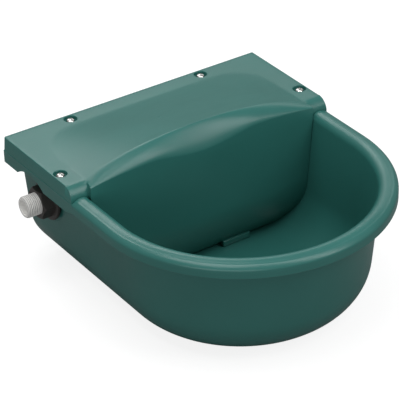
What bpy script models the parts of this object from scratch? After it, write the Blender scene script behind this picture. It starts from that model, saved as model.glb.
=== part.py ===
"""Float drinking bowl: a moulded D-shaped bowl with a screwed-down valve cover.

+Z is up and +Y points to the wall. The origin is on the base plane, on the upright axis
of the bowl's half-round front. Lengths are in metres.
"""
import math

import bmesh
import bpy
from mathutils import Matrix

# Overall sizes
RIM_OUTER_RADIUS = 0.1415
COVER_SIDE_INSET = 0.0013
COVER_WIDTH = 2 * (RIM_OUTER_RADIUS - COVER_SIDE_INSET)
COVER_DEPTH = 0.1195
COVER_TOP = 0.130
BACK_Y = 0.178
FIT_GAP = 0.0003

# Bowl wall
WALL = 0.003
RIM_OVERHANG = 0.0152
WALL_TOP_RADIUS = RIM_OUTER_RADIUS - RIM_OVERHANG
WALL_DRAFT = math.radians(5.4)
BOTTOM_ROUND = 0.0462
BACK_ROUND = 0.032
REAR_CORNER_RADIUS = 0.0042
CORNER_GROWTH = 0.5

# Flange under the cover
COVER_SKIRT_HEIGHT = 0.013
FLANGE_THICKNESS = 0.003
FLANGE_DROP = 0.0134
FLANGE_LIP = 0.003
FLANGE_EDGE = 0.0005

# Rolled rim
RIM_TOP = 0.1207
RIM_FACE_TOP = 0.1150
RIM_LIP_BOTTOM = 0.1070
RIM_LIP = 0.003
RIM_INNER_ROUND = 0.0082
RIM_UNDERSIDE = 0.1155
RIM_CROWN_INSET = 0.004
RIM_CROWN_RADIUS = RIM_OUTER_RADIUS - RIM_CROWN_INSET
RIM_CROWN_DROP = 0.0014

# Inlet in both side walls
INLET_Y = 0.131
INLET_Z = 0.080
INLET_RECESS_RADIUS = 0.0225
INLET_RECESS_DEPTH = 0.0022
INLET_PAD_RADIUS = 0.0245
THREAD_RADIUS = 0.01048
INLET_HOLE_GAP = 0.0004
ARCH_RADIUS = 0.038
ARCH_TOP = 0.1117

# Cover screws
REAR_SCREW_SHARE = 0.518
REAR_SCREW_X = REAR_SCREW_SHARE * RIM_OUTER_RADIUS
REAR_SCREW_INSET = 0.0078
FRONT_SCREW_SIDE_INSET = 0.0076
FRONT_SCREW_X = COVER_WIDTH / 2 - FRONT_SCREW_SIDE_INSET
FRONT_SCREW_BEHIND_NOSE = 0.0317
FRONT_SCREW_INSET = COVER_DEPTH - FRONT_SCREW_BEHIND_NOSE
SCREW_RADIUS = 0.0025
SCREW_LENGTH = 0.020
SCREW_HEAD_RADIUS = 0.0043
SCREW_HEAD_HEIGHT = 0.0030
HEAD_CROWN = 0.6
COUNTERBORE_RADIUS = 0.0063
COUNTERBORE_DEPTH = 0.0034
POST_RADIUS = 0.0070
BOSS_RADIUS = 0.0060
BOSS_LENGTH = 0.012

# Cover shell, dome and apron
COVER_WALL = 0.003
COVER_CORNER = 0.0015
SKIRT_FLARE = 0.0011
COVER_NOSE = 0.011
DOME_SIDE_INSET = 0.0063
DOME_HALF_WIDTH = WALL_TOP_RADIUS - DOME_SIDE_INSET
DOME_REAR_INSET = 0.018
DOME_CORNER_RADIUS = 0.040
DOME_HEIGHT = 0.017
CREST_BEHIND_NOSE = 0.0115
DOME_CREST_INSET = COVER_DEPTH - CREST_BEHIND_NOSE
DOME_OVERLAP = 0.001
RAMP_EASE = 1.4
APRON_END_FALL = 0.0045
APRON_BEFORE_NOSE = 0.0033
APRON_INSET = COVER_DEPTH + APRON_BEFORE_NOSE
APRON_ROUND = 0.080
APRON_ROUND_TOP = 0.055
APRON_TOP_RISE = 0.002
APRON_SIDE_GAP = 0.0008
APRON_FLOOR_GAP = 0.003

# Foot lug on the apron's lower edge
LUG_X = 0.0415
LUG_WIDTH = 0.0305
LUG_TOP = 0.0094
LUG_PROUD = 0.0028
LUG_FLOOR_GAP = 0.0005

# Fixing holes in the back wall
FIXING_X = 0.070
FIXING_Z = 0.096
FIXING_RADIUS = 0.0042

# Drain in the floor behind the apron
DRAIN_X = -0.030
DRAIN_Y = 0.112
DRAIN_RADIUS = 0.010
DRAIN_HEAD_RADIUS = 0.014
DRAIN_HEAD_HEIGHT = 0.004

# Inlet fittings
GASKET_THICKNESS = 0.002
GASKET_RADIUS = 0.018
STUB_BEYOND_RIM = 0.0088
STUB_END = RIM_OUTER_RADIUS + STUB_BEYOND_RIM
BORE_RADIUS = 0.0075
NUT_LENGTH = 0.0139
NUT_FLANGE_RADIUS = 0.020
NUT_FLANGE_THICKNESS = 0.003
NUT_ACROSS_FLATS = 0.028
COLLAR_ACROSS_FLATS = 0.027
COLLAR_THICKNESS = 0.005
HOUSING_RADIUS = 0.010
HOUSING_LENGTH = 0.0257
PLUNGER_RADIUS = 0.006
STRAINER_DEPTH = 0.008
STRAINER_LENGTH = 0.015
STRAINER_WALL = 0.001
STRAINER_CUP_RADIUS = 0.0053
STRAINER_SLOTS = 4
NOZZLE_FLANGE = 0.002
NOZZLE_LENGTH = 0.0083
NOZZLE_ORIFICE_RADIUS = 0.0022
SEAT_LIP_RADIUS = 0.0034
SEAT_LIP_HEIGHT = 0.001
SEAL_RADIUS = 0.0050
SEAL_THICKNESS = 0.0024
SEAL_PROUD = 0.0008
PLUNGER_TRAVEL = 0.0042
PLUNGER_LENGTH = 0.0158
PLUNGER_TAIL_RADIUS = 0.003
OUTLET_WIDTH = 0.008
OUTLET_LENGTH = 0.008
BLANKING_HEAD = 0.005
BLANKING_SHANK = 0.022
BLANKING_NUT_FLATS = 0.030
BLANKING_NUT_THICKNESS = 0.008
SLOT_WIDTH = 0.002

# Float lever
PIVOT_DROP = 0.013
PIVOT_AHEAD = 0.010
PIN_RADIUS = 0.002
PIN_HEAD_RADIUS = 0.0036
PIN_HEAD_HEIGHT = 0.0016
PIN_GROOVE_DEPTH = 0.0005
PIN_END = 0.002
CLIP_RADIUS = 0.0042
CLIP_THICKNESS = 0.0008
EAR_THICKNESS = 0.003
EAR_ROUND = 0.007
EAR_LENGTH = 0.028
EAR_RISE = 0.004
EAR_WEB_TURN = math.radians(50)
FORK_HALF_GAP = 0.0065
HUB_RADIUS = 0.0055
LEVER_THICKNESS = 0.0044
LEVER_WIDTH = 0.008
LEVER_OVERHANG = 0.004
ARM_DROOP = math.radians(15)
ARM_THICKNESS = 0.004
FLOAT_FROM_PIVOT = 0.1105
ROD_RADIUS = 0.0025
ROD_END = 0.002
ADJUSTER_RADIUS = 0.002
ADJUSTER_LENGTH = 0.0177
ADJUSTER_HEAD_RADIUS = 0.0036
ADJUSTER_HEAD_HEIGHT = 0.0026
ADJUSTER_NUT_FLATS = 0.007
ADJUSTER_NUT_THICKNESS = 0.0032
FLOAT_RADIUS = 0.027
FLOAT_LENGTH = 0.070
FLOAT_EDGE = 0.005
FLOAT_BOSS_RADIUS = 0.008
FLOAT_BOSS_PROUD = 0.0015
FLOAT_NUT_RADIUS = 0.0070
FLOAT_NUT_THICKNESS = 0.006

# Drain plug
DRAIN_KNOB_RADIUS = 0.004
DRAIN_KNOB_HEIGHT = 0.006
DRAIN_NECK_RADIUS = 0.0024
DRAIN_BASE_GAP = 0.0006

# Worked-out levels and planes
FLANGE_TOP = COVER_TOP - COVER_SKIRT_HEIGHT - FIT_GAP
COVER_FRONT_Y = BACK_Y - COVER_DEPTH
FLANGE_FRONT_Y = COVER_FRONT_Y - FIT_GAP
RIM_START_Y = COVER_FRONT_Y - 3 * FIT_GAP

# Smoothness of the curved forms
FRONT_STEPS = 32
CORNER_STEPS = 3
DOME_CORNER_STEPS = 6
ROUND_STEPS = 8
TOP_STEPS = 4
CROWN_STEPS = 10
RAMP_STEPS = 8
NOSE_STEPS = 6
EAR_STEPS = 9
HEAD_STEPS = 5
BEVEL_STEPS = 4
FLOAT_EDGE_STEPS = 3


def wall_radius(z, inset=0.0):
    """Half-width of the drafted side wall at height z, inset from its outer face."""
    lean = math.tan(WALL_DRAFT) * (FLANGE_TOP - z)
    return WALL_TOP_RADIUS - lean - inset / math.cos(WALL_DRAFT)


def seat_plane():
    """Distance of the inlet recess's flat floor from the middle plane."""
    return wall_radius(INLET_Z) - INLET_RECESS_DEPTH


def bowl_levels(inset):
    """Half-width and height of each level of the rounded bottom, from the base up."""
    centre_r = wall_radius(BOTTOM_ROUND) - BOTTOM_ROUND / math.cos(WALL_DRAFT)
    radius = BOTTOM_ROUND - inset
    levels = []
    for i in range(ROUND_STEPS + 1):
        a = -math.pi / 2 + (math.pi / 2 - WALL_DRAFT) * i / ROUND_STEPS
        levels.append((centre_r + radius * math.cos(a), BOTTOM_ROUND + radius * math.sin(a)))
    return levels


def back_plane(z, inset):
    """Y of the back wall at height z, with the rounded lower edge."""
    if z >= BACK_ROUND:
        return BACK_Y - inset
    radius = BACK_ROUND - inset
    drop = min(radius, BACK_ROUND - z)
    return BACK_Y - BACK_ROUND + math.sqrt(radius ** 2 - drop ** 2)


def ring(half_width, back_y, corner, z):
    """One level of the D outline, from the right end of the back wall round to the left end."""
    points = []
    for i in range(CORNER_STEPS + 1):
        a = math.pi / 2 * (1 - i / CORNER_STEPS)
        x = half_width - corner + corner * math.cos(a)
        points.append((x, back_y - corner + corner * math.sin(a), z))
    points.append((half_width, FLANGE_FRONT_Y, z))
    rear = points + [(half_width, RIM_START_Y, z)]
    front = []
    for i in range(FRONT_STEPS + 1):
        a = -math.pi * i / FRONT_STEPS
        front.append((half_width * math.cos(a), half_width * math.sin(a), z))
    return rear + front + [(-x, y, z) for x, y, z in rear[::-1]]


def wall_ring(half_width, z, inset):
    """One level of the wall, whose rear corners shrink with the inset."""
    growth = CORNER_GROWTH * (wall_radius(z, inset) - half_width)
    return ring(half_width, back_plane(z, inset), REAR_CORNER_RADIUS - inset + growth, z)


def skirt_ring(half_width, z):
    """One level of the flange's edge, which runs straight on to the back plane."""
    points = ring(half_width, BACK_Y, REAR_CORNER_RADIUS, z)
    for i in range(CORNER_STEPS + 1):
        y = BACK_Y - REAR_CORNER_RADIUS * i / CORNER_STEPS
        points[i] = (half_width, y, z)
        points[-1 - i] = (-half_width, y, z)
    return points


def rim_then_flange(rim, rear):
    """A line of the upper edge: the rim's half-width and height in front, the rear ring behind."""
    front = ring(rim[0], BACK_Y, REAR_CORNER_RADIUS, rim[1])
    start = CORNER_STEPS + 2
    return rear[:start] + front[start:-start] + rear[-start:]


def bowl_skin():
    """Rings of the bowl, flange and rim, from the base up the outside and down the inside."""
    under = FLANGE_TOP - FLANGE_THICKNESS
    flange = RIM_OUTER_RADIUS
    flange_inside = flange - FLANGE_LIP
    rim_inside = RIM_OUTER_RADIUS - RIM_LIP
    lip = FLANGE_TOP - FLANGE_DROP
    edge = FLANGE_EDGE
    outer = [wall_ring(r, z, 0.0) for r, z in bowl_levels(0.0)]
    wall_top = wall_ring(wall_radius(under), under, 0.0)
    root = rim_then_flange((wall_radius(RIM_UNDERSIDE), RIM_UNDERSIDE), wall_top)
    hook = [
        rim_then_flange((rim_inside, RIM_UNDERSIDE), skirt_ring(flange_inside, under)),
        rim_then_flange((rim_inside, RIM_LIP_BOTTOM), skirt_ring(flange_inside, lip)),
        rim_then_flange((RIM_OUTER_RADIUS, RIM_LIP_BOTTOM), skirt_ring(flange, lip)),
        rim_then_flange((RIM_OUTER_RADIUS, RIM_FACE_TOP), skirt_ring(flange, FLANGE_TOP - edge)),
        rim_then_flange(
            (RIM_OUTER_RADIUS - edge, RIM_FACE_TOP + 2 * edge), skirt_ring(flange - edge, FLANGE_TOP)
        ),
        rim_then_flange((RIM_CROWN_RADIUS, RIM_TOP - RIM_CROWN_DROP), skirt_ring(flange_inside, FLANGE_TOP)),
    ]
    top = []
    inner_edge = wall_radius(RIM_TOP - RIM_INNER_ROUND, WALL)
    for i in range(TOP_STEPS + 1):
        a = math.pi / 2 * i / TOP_STEPS
        inset = WALL * i / TOP_STEPS
        x = inner_edge + RIM_INNER_ROUND * (1 - math.sin(a))
        z = RIM_TOP - RIM_INNER_ROUND * (1 - math.cos(a))
        top.append(rim_then_flange((x, z), wall_ring(wall_radius(FLANGE_TOP, inset), FLANGE_TOP, inset)))
    inner = [wall_ring(r, z, WALL) for r, z in bowl_levels(WALL)[::-1]]
    return outer + [root], hook, top + inner


def bowl_mesh():
    """Loft the rings into one closed skin, with the flange cut off at the back plane."""
    outer, hook, inner = bowl_skin()
    bm = bmesh.new()
    grid = [[bm.verts.new(p) for p in points] for points in outer + hook + inner]
    root = len(outer) - 1
    top = len(outer) + len(hook)
    for k, (low, high) in enumerate(zip(grid, grid[1:])):
        for a, b, c, d in zip(low, high, high[1:], low[1:]):
            bm.faces.new((a, b, c, d))
        if not root <= k < top:
            bm.faces.new((low[-1], high[-1], high[0], low[0]))
    bm.faces.new((grid[root][-1], grid[top][-1], grid[top][0], grid[root][0]))
    for end in (0, -1):
        bm.faces.new([grid[k][end] for k in range(root, top + 1)])
    bm.faces.new(grid[0])
    bm.faces.new(grid[-1])
    bmesh.ops.recalc_face_normals(bm, faces=bm.faces)
    return mesh_from(bm, "bowl_body")


def mesh_from(bm, name):
    """Turn the working mesh into a mesh datablock, smooth but for its sharp edges."""
    mesh = bpy.data.meshes.new(name)
    bm.to_mesh(mesh)
    bm.free()
    mesh.shade_smooth()
    mesh.set_sharp_from_angle(angle=math.radians(35))
    return mesh


def place(name, mesh, finish, location=(0, 0, 0), rotation=(0, 0, 0)):
    """Add one sub-part with its material to the model's collection."""
    obj = bpy.data.objects.new(name, mesh)
    mesh.materials.append(finish)
    obj.location = location
    obj.rotation_euler = rotation
    model.objects.link(obj)
    return obj


def tool(name, bm, location=(0, 0, 0), rotation=(0, 0, 0)):
    """Add a shape that only cuts or joins, shown as wire and left out of the model."""
    obj = bpy.data.objects.new(name, mesh_from(bm, name))
    obj.location = location
    obj.rotation_euler = rotation
    obj.hide_render = True
    obj.display_type = "WIRE"
    cutters.objects.link(obj)
    return obj


def combine(obj, shape, operation):
    """Cut obj by the shape, or join the shape to it."""
    modifier = obj.modifiers.new(shape.name, "BOOLEAN")
    modifier.object = shape
    modifier.operation = operation
    modifier.solver = "EXACT"


def box(size, centre):
    """A working mesh of a box."""
    bm = bmesh.new()
    bmesh.ops.create_cube(bm, size=1.0)
    bmesh.ops.scale(bm, vec=size, verts=bm.verts)
    bmesh.ops.translate(bm, vec=centre, verts=bm.verts)
    return bm


def disc(radius, bottom, top, steps=32):
    """A working mesh of an upright cylinder between two heights."""
    bm = bmesh.new()
    middle = Matrix.Translation((0, 0, (bottom + top) / 2))
    bmesh.ops.create_cone(
        bm, cap_ends=True, segments=steps, radius1=radius, radius2=radius, depth=top - bottom, matrix=middle
    )
    return bm


def prism(outline, along):
    """A working mesh of a flat outline pushed along a direction."""
    bm = bmesh.new()
    face = bm.faces.new([bm.verts.new(p) for p in outline])
    solid = bmesh.ops.extrude_face_region(bm, geom=[face])
    moved = [v for v in solid["geom"] if isinstance(v, bmesh.types.BMVert)]
    bmesh.ops.translate(bm, vec=along, verts=moved)
    bmesh.ops.recalc_face_normals(bm, faces=bm.faces)
    return bm


def profile(outline):
    """A working mesh of a turned outline, which closes unless it starts on the axis."""
    bm = bmesh.new()
    points = [bm.verts.new((r, 0, z)) for r, z in outline]
    for a, b in zip(points, points[1:]):
        bm.edges.new((a, b))
    if outline[0][0] > 0:
        bm.edges.new((points[-1], points[0]))
    return bm


def turn(obj, steps=32):
    """Turn the object's outline, which runs down its outer side, about its own upright axis."""
    screw = obj.modifiers.new("turn", "SCREW")
    screw.angle = 2 * math.pi
    screw.steps = steps
    screw.render_steps = steps
    screw.use_merge_vertices = True
    screw.merge_threshold = 0.00001
    return obj


def turned(name, outline, finish, location=(0, 0, 0), rotation=(0, 0, 0), steps=32):
    """One turned sub-part."""
    return turn(place(name, mesh_from(profile(outline), name), finish, location, rotation), steps)


def hexagon(flats, bottom, top):
    """A working mesh of an upright hexagonal prism."""
    return disc(flats / 2 / math.cos(math.pi / 6), bottom, top, steps=6)


def finish_of(name, colour, roughness, metallic=0.0):
    """A plain surface in the given linear colour."""
    material = bpy.data.materials.new(name)
    material.use_nodes = True
    shader = material.node_tree.nodes["Principled BSDF"]
    shader.inputs["Base Color"].default_value = (*colour, 1.0)
    shader.inputs["Roughness"].default_value = roughness
    shader.inputs["Metallic"].default_value = metallic
    return material


def screw_places():
    """Name, X and Y of each cover screw."""
    rear_y = BACK_Y - REAR_SCREW_INSET
    front_y = BACK_Y - FRONT_SCREW_INSET
    return (
        ("cover_screw_rear_left", -REAR_SCREW_X, rear_y),
        ("cover_screw_rear_right", REAR_SCREW_X, rear_y),
        ("cover_screw_front_left", -FRONT_SCREW_X, front_y),
        ("cover_screw_front_right", FRONT_SCREW_X, front_y),
    )


def add_bowl_body():
    """The bowl with its screw bosses, inlet seats, fixing holes and drain."""
    bowl = place("bowl_body", bowl_mesh(), green_plastic)
    boss_top = FLANGE_TOP - FLANGE_THICKNESS / 3
    hole = SCREW_RADIUS + FIT_GAP
    hole_bottom = COVER_TOP - COUNTERBORE_DEPTH - SCREW_LENGTH - 2 * FIT_GAP
    for name, x, y in screw_places():
        boss = disc(BOSS_RADIUS, boss_top - BOSS_LENGTH, boss_top, steps=24)
        combine(bowl, tool(name + "_boss", boss, (x, y, 0)), "UNION")
    for name, x, y in screw_places():
        bore = disc(hole, hole_bottom, COVER_TOP, steps=16)
        combine(bowl, tool(name + "_bore", bore, (x, y, 0)), "DIFFERENCE")
    for side, name in ((-1, "left"), (1, "right")):
        seat = seat_plane()
        axis = (0, INLET_Y, INLET_Z)
        facing = (0, side * math.pi / 2, 0)
        pad = disc(INLET_PAD_RADIUS, seat - WALL, seat + WALL / 4, steps=48)
        combine(bowl, tool(name + "_pad", pad, axis, facing), "UNION")
        recess = disc(INLET_RECESS_RADIUS, seat, RIM_OUTER_RADIUS - FLANGE_LIP, steps=48)
        combine(bowl, tool(name + "_recess", recess, axis, facing), "DIFFERENCE")
        hole = disc(THREAD_RADIUS + INLET_HOLE_GAP, seat - 2 * WALL, seat + WALL, steps=32)
        combine(bowl, tool(name + "_inlet_hole", hole, axis, facing), "DIFFERENCE")
        arch = disc(ARCH_RADIUS, RIM_OUTER_RADIUS - 2 * FLANGE_LIP, RIM_OUTER_RADIUS + FLANGE_LIP, steps=64)
        arch_place = (0, INLET_Y, ARCH_TOP - ARCH_RADIUS)
        combine(bowl, tool(name + "_arch", arch, arch_place, facing), "DIFFERENCE")
        fixing = disc(FIXING_RADIUS, -2 * WALL, WALL, steps=24)
        fixing_place = (side * FIXING_X, BACK_Y, FIXING_Z)
        combine(bowl, tool(name + "_fixing_hole", fixing, fixing_place, (-math.pi / 2, 0, 0)), "DIFFERENCE")
    drain = disc(DRAIN_RADIUS, -WALL, 2 * WALL, steps=32)
    combine(bowl, tool("drain_hole", drain, (DRAIN_X, DRAIN_Y, 0)), "DIFFERENCE")


def dome_rear(x):
    """Y of the dome's rear outline at x, with its large rounded corners."""
    over = min(DOME_CORNER_RADIUS, max(0.0, abs(x) - DOME_HALF_WIDTH + DOME_CORNER_RADIUS))
    corner = DOME_CORNER_RADIUS - math.sqrt(DOME_CORNER_RADIUS ** 2 - over ** 2)
    return BACK_Y - DOME_REAR_INSET - corner


def dome_crown(x):
    """Height of the dome's crest above the border at x."""
    return DOME_HEIGHT * (1 - (x / DOME_HALF_WIDTH) ** 2)


def apron_y(z):
    """Y of the apron's front face at height z: upright above, curling back to its lower edge."""
    drop = max(0.0, APRON_ROUND_TOP - z)
    return BACK_Y - APRON_INSET + APRON_ROUND - math.sqrt(APRON_ROUND ** 2 - drop ** 2)


def dome_columns():
    """X of each column of the dome sheet, closest where its rear corners curve."""
    straight = DOME_HALF_WIDTH - DOME_CORNER_RADIUS
    right = [straight * i / CROWN_STEPS for i in range(CROWN_STEPS + 1)]
    for i in range(1, DOME_CORNER_STEPS + 1):
        right.append(straight + DOME_CORNER_RADIUS * math.sin(math.pi / 2 * i / DOME_CORNER_STEPS))
    return [-x for x in right[:0:-1]] + right


def apron_levels():
    """Half-width and height of each row of the apron, down to its edge above the floor."""
    edge = WALL + APRON_FLOOR_GAP
    levels = [(wall_radius(z, WALL), z) for z in (FLANGE_TOP, APRON_ROUND_TOP)]
    levels += [(r, z) for r, z in bowl_levels(WALL)[::-1] if z > edge + APRON_FLOOR_GAP / 2]
    radius = BOTTOM_ROUND - WALL
    middle = bowl_levels(WALL)[0][0]
    levels.append((middle + math.sqrt(radius ** 2 - (BOTTOM_ROUND - edge) ** 2), edge))
    return levels


def dome_sheet():
    """Front and top face of the dome and apron, as rows of points from the rear edge down."""
    rows = []
    crest_y = BACK_Y - DOME_CREST_INSET
    shares = [x / DOME_HALF_WIDTH for x in dome_columns()]
    wide = DOME_HALF_WIDTH + DOME_OVERLAP
    for i in range(RAMP_STEPS + 1):
        row = []
        for u in shares:
            rear = dome_rear(u * DOME_HALF_WIDTH)
            start = rear + DOME_OVERLAP
            y = start + (crest_y - start) * i / RAMP_STEPS
            climb = (rear - y) / (rear - crest_y)
            rise = climb if climb < 0 else 1 - (1 - climb) ** RAMP_EASE
            row.append((u * wide, y, COVER_TOP + dome_crown(u * wide) * rise))
        rows.append(row)
    top_half = wall_radius(FLANGE_TOP, WALL) - APRON_SIDE_GAP
    for i in range(1, NOSE_STEPS + 1):
        a = math.pi / 2 * i / NOSE_STEPS
        half = wide + (top_half - wide) * math.sin(a) ** 2
        row = []
        for u in shares:
            low = COVER_TOP + APRON_TOP_RISE - APRON_END_FALL * u ** 4
            high = COVER_TOP + dome_crown(u * wide)
            y = crest_y + (apron_y(COVER_TOP) - crest_y) * math.sin(a)
            row.append((u * half, y, low + (high - low) * math.cos(a)))
        rows.append(row)
    for half, z in apron_levels():
        rows.append([(u * (half - APRON_SIDE_GAP), apron_y(z), z) for u in shares])
    return rows


def add_cover():
    """Flat screwed border with its skirts, and the dome and apron in one sheet."""
    skirt_bottom = COVER_TOP - COVER_SKIRT_HEIGHT
    border = border_block(0.0, skirt_bottom, COVER_TOP)
    cover = place("cover", mesh_from(border, "cover"), green_plastic)
    hollow = border_block(COVER_WALL, skirt_bottom - COVER_WALL, COVER_TOP - COVER_WALL)
    combine(cover, tool("cover_hollow", hollow), "DIFFERENCE")
    combine(cover, tool("dome_opening", dome_opening()), "DIFFERENCE")
    sheet = bmesh.new()
    grid = [[sheet.verts.new(p) for p in row] for row in dome_sheet()]
    for upper, lower in zip(grid, grid[1:]):
        for a, b, c, d in zip(upper, lower, lower[1:], upper[1:]):
            sheet.faces.new((a, b, c, d))
    dome = tool("dome_and_apron", sheet)
    thicken = dome.modifiers.new("thickness", "SOLIDIFY")
    thicken.thickness = COVER_WALL
    thicken.offset = -1.0
    thicken.use_even_offset = True
    combine(cover, dome, "UNION")
    lug_bottom = WALL + LUG_FLOOR_GAP
    lug_front = apron_y(LUG_TOP) - LUG_PROUD
    lug_depth = LUG_PROUD + COVER_WALL
    lug_place = (LUG_X, lug_front + lug_depth / 2, (LUG_TOP + lug_bottom) / 2)
    lug = box((LUG_WIDTH, lug_depth, LUG_TOP - lug_bottom), lug_place)
    combine(cover, tool("foot_lug", lug), "UNION")
    for name, x, y in screw_places():
        post = disc(POST_RADIUS, skirt_bottom, COVER_TOP - COVER_WALL / 2, steps=24)
        combine(cover, tool(name + "_post", post, (x, y, 0)), "UNION")
    for name, x, y in screw_places():
        bore = disc(SCREW_RADIUS + FIT_GAP, skirt_bottom - COVER_WALL, COVER_TOP, steps=16)
        combine(cover, tool(name + "_way", bore, (x, y, 0)), "DIFFERENCE")
        sink = disc(COUNTERBORE_RADIUS, COVER_TOP - COUNTERBORE_DEPTH, COVER_TOP + COVER_WALL, steps=32)
        combine(cover, tool(name + "_sink", sink, (x, y, 0)), "DIFFERENCE")


def border_block(inset, bottom, top):
    """The cover's rectangular block, inset all round, with its rolled front edge."""
    size = (COVER_WIDTH - 2 * inset, COVER_DEPTH - 2 * inset, top - bottom)
    bm = box(size, (0, BACK_Y - COVER_DEPTH / 2, (top + bottom) / 2))
    for v in bm.verts:
        if v.co.z < top - FIT_GAP:
            v.co.x += math.copysign(SKIRT_FLARE, v.co.x)
    front = COVER_FRONT_Y + inset
    back = BACK_Y - inset
    upright = [e for e in bm.edges if all(abs(v.co.y - back) < FIT_GAP for v in e.verts)
               and abs(e.verts[0].co.z - e.verts[1].co.z) > FIT_GAP]
    bmesh.ops.bevel(
        bm, geom=upright, offset=COVER_CORNER, segments=BEVEL_STEPS, affect="EDGES", profile=0.5
    )
    nose = [e for e in bm.edges if all(abs(v.co.y - front) < FIT_GAP and abs(v.co.z - top) < FIT_GAP
                                       for v in e.verts)]
    bmesh.ops.bevel(
        bm, geom=nose, offset=COVER_NOSE - inset, segments=NOSE_STEPS, affect="EDGES", profile=0.5
    )
    return bm


def dome_opening():
    """Prism that opens the border under the dome and out through the front."""
    half = DOME_HALF_WIDTH - 2 * DOME_OVERLAP
    outline = [(x / DOME_HALF_WIDTH * half, dome_rear(x) - 2 * DOME_OVERLAP) for x in dome_columns()]
    outline += [(half, COVER_FRONT_Y - COVER_WALL), (-half, COVER_FRONT_Y - COVER_WALL)]
    bottom = COVER_TOP - 2 * COVER_SKIRT_HEIGHT
    return prism([(x, y, bottom) for x, y in outline], (0, 0, 3 * COVER_SKIRT_HEIGHT))


def add_cover_screws():
    """Four pan-head screws in the cover's counterbores."""
    seat = COVER_TOP - COUNTERBORE_DEPTH + FIT_GAP
    for name, x, y in screw_places():
        outline = [(0, SCREW_HEAD_HEIGHT)]
        for i in range(1, HEAD_STEPS + 1):
            a = math.pi / 2 * i / HEAD_STEPS
            outline.append((SCREW_HEAD_RADIUS * math.sin(a) ** HEAD_CROWN, SCREW_HEAD_HEIGHT * math.cos(a)))
        outline += [(SCREW_RADIUS, 0), (SCREW_RADIUS, -SCREW_LENGTH + SCREW_RADIUS), (0, -SCREW_LENGTH)]
        turned(name, outline, bright_steel, (x, y, seat), steps=20)


LEFTWARD = (0, -math.pi / 2, 0)
RIGHTWARD = (0, math.pi / 2, 0)
WALLWARD = (-math.pi / 2, 0, 0)


def valve_planes():
    """Distances of the valve's faces from the middle plane, from the wall inwards."""
    collar_top = seat_plane() - WALL - 2 * FIT_GAP - GASKET_THICKNESS
    collar_bottom = collar_top - COLLAR_THICKNESS
    step = collar_bottom - COLLAR_THICKNESS / 3
    housing_end = collar_bottom - HOUSING_LENGTH
    lip = step + FIT_GAP - NOZZLE_LENGTH - SEAT_LIP_HEIGHT
    seal_face = lip - FIT_GAP - PLUNGER_TRAVEL
    plunger_end = seal_face - SEAL_PROUD - PLUNGER_LENGTH
    return {
        "collar_top": collar_top,
        "collar_bottom": collar_bottom,
        "step": step,
        "housing_end": housing_end,
        "lip": lip,
        "seal_face": seal_face,
        "plunger_end": plunger_end,
        "pivot": housing_end - PIVOT_AHEAD,
    }


def pivot_place():
    """Centre of the lever's pivot pin."""
    return (-valve_planes()["pivot"], INLET_Y, INLET_Z - PIVOT_DROP)


def ear_slab():
    """A working mesh of one ear about the pivot, rounded at its end and webbed up to the housing."""
    top = PIVOT_DROP + EAR_RISE
    outline = [(-EAR_LENGTH, -EAR_ROUND)]
    for i in range(EAR_STEPS + 1):
        a = -math.pi / 2 + (math.pi / 2 + EAR_WEB_TURN) * i / EAR_STEPS
        outline.append((EAR_ROUND * math.cos(a), EAR_ROUND * math.sin(a)))
    outline += [(-EAR_LENGTH / 2, top), (-EAR_LENGTH, top)]
    return prism([(x, -EAR_THICKNESS / 2, z) for x, z in outline], (0, EAR_THICKNESS, 0))


def add_valve_body():
    """White inlet stub, hexagonal collar and plunger housing, with the ears for the lever."""
    at = valve_planes()
    axis = (0, INLET_Y, INLET_Z)
    chamfer = WALL / 5
    shoulder = at["collar_bottom"] + COLLAR_THICKNESS / 2
    outline = [
        (0, STUB_END),
        (THREAD_RADIUS - chamfer, STUB_END),
        (THREAD_RADIUS, STUB_END - chamfer),
        (THREAD_RADIUS, shoulder),
        (HOUSING_RADIUS, shoulder),
        (HOUSING_RADIUS, at["housing_end"]),
        (0, at["housing_end"]),
    ]
    body = turned("valve_body", outline, white_plastic, axis, LEFTWARD)
    collar = hexagon(COLLAR_ACROSS_FLATS, at["collar_bottom"], at["collar_top"])
    combine(body, tool("collar", collar, axis, LEFTWARD), "UNION")
    x, y, z = pivot_place()
    for side, name in ((-1, "front"), (1, "rear")):
        middle = y + side * (FORK_HALF_GAP + EAR_THICKNESS / 2)
        combine(body, tool(name + "_ear", ear_slab(), (x, middle, z)), "UNION")
    reach = FORK_HALF_GAP + 2 * EAR_THICKNESS
    pin_hole = disc(PIN_RADIUS + FIT_GAP, -reach, reach, steps=24)
    combine(body, tool("pin_hole", pin_hole, (x, y, z), WALLWARD), "DIFFERENCE")
    outlet_x = -at["lip"] + OUTLET_LENGTH / 2
    outlet_place = (outlet_x, INLET_Y, INLET_Z - HOUSING_RADIUS)
    outlet = box((OUTLET_LENGTH, OUTLET_WIDTH, 2 * HOUSING_RADIUS), outlet_place)
    combine(body, tool("outlet", outlet), "DIFFERENCE")
    bore = profile([
        (0, STUB_END + WALL),
        (BORE_RADIUS, STUB_END + WALL),
        (BORE_RADIUS, at["step"]),
        (PLUNGER_RADIUS + FIT_GAP, at["step"]),
        (PLUNGER_RADIUS + FIT_GAP, at["housing_end"] - EAR_ROUND),
        (0, at["housing_end"] - EAR_ROUND),
    ])
    combine(body, turn(tool("valve_bore", bore, axis, LEFTWARD)), "DIFFERENCE")


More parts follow.
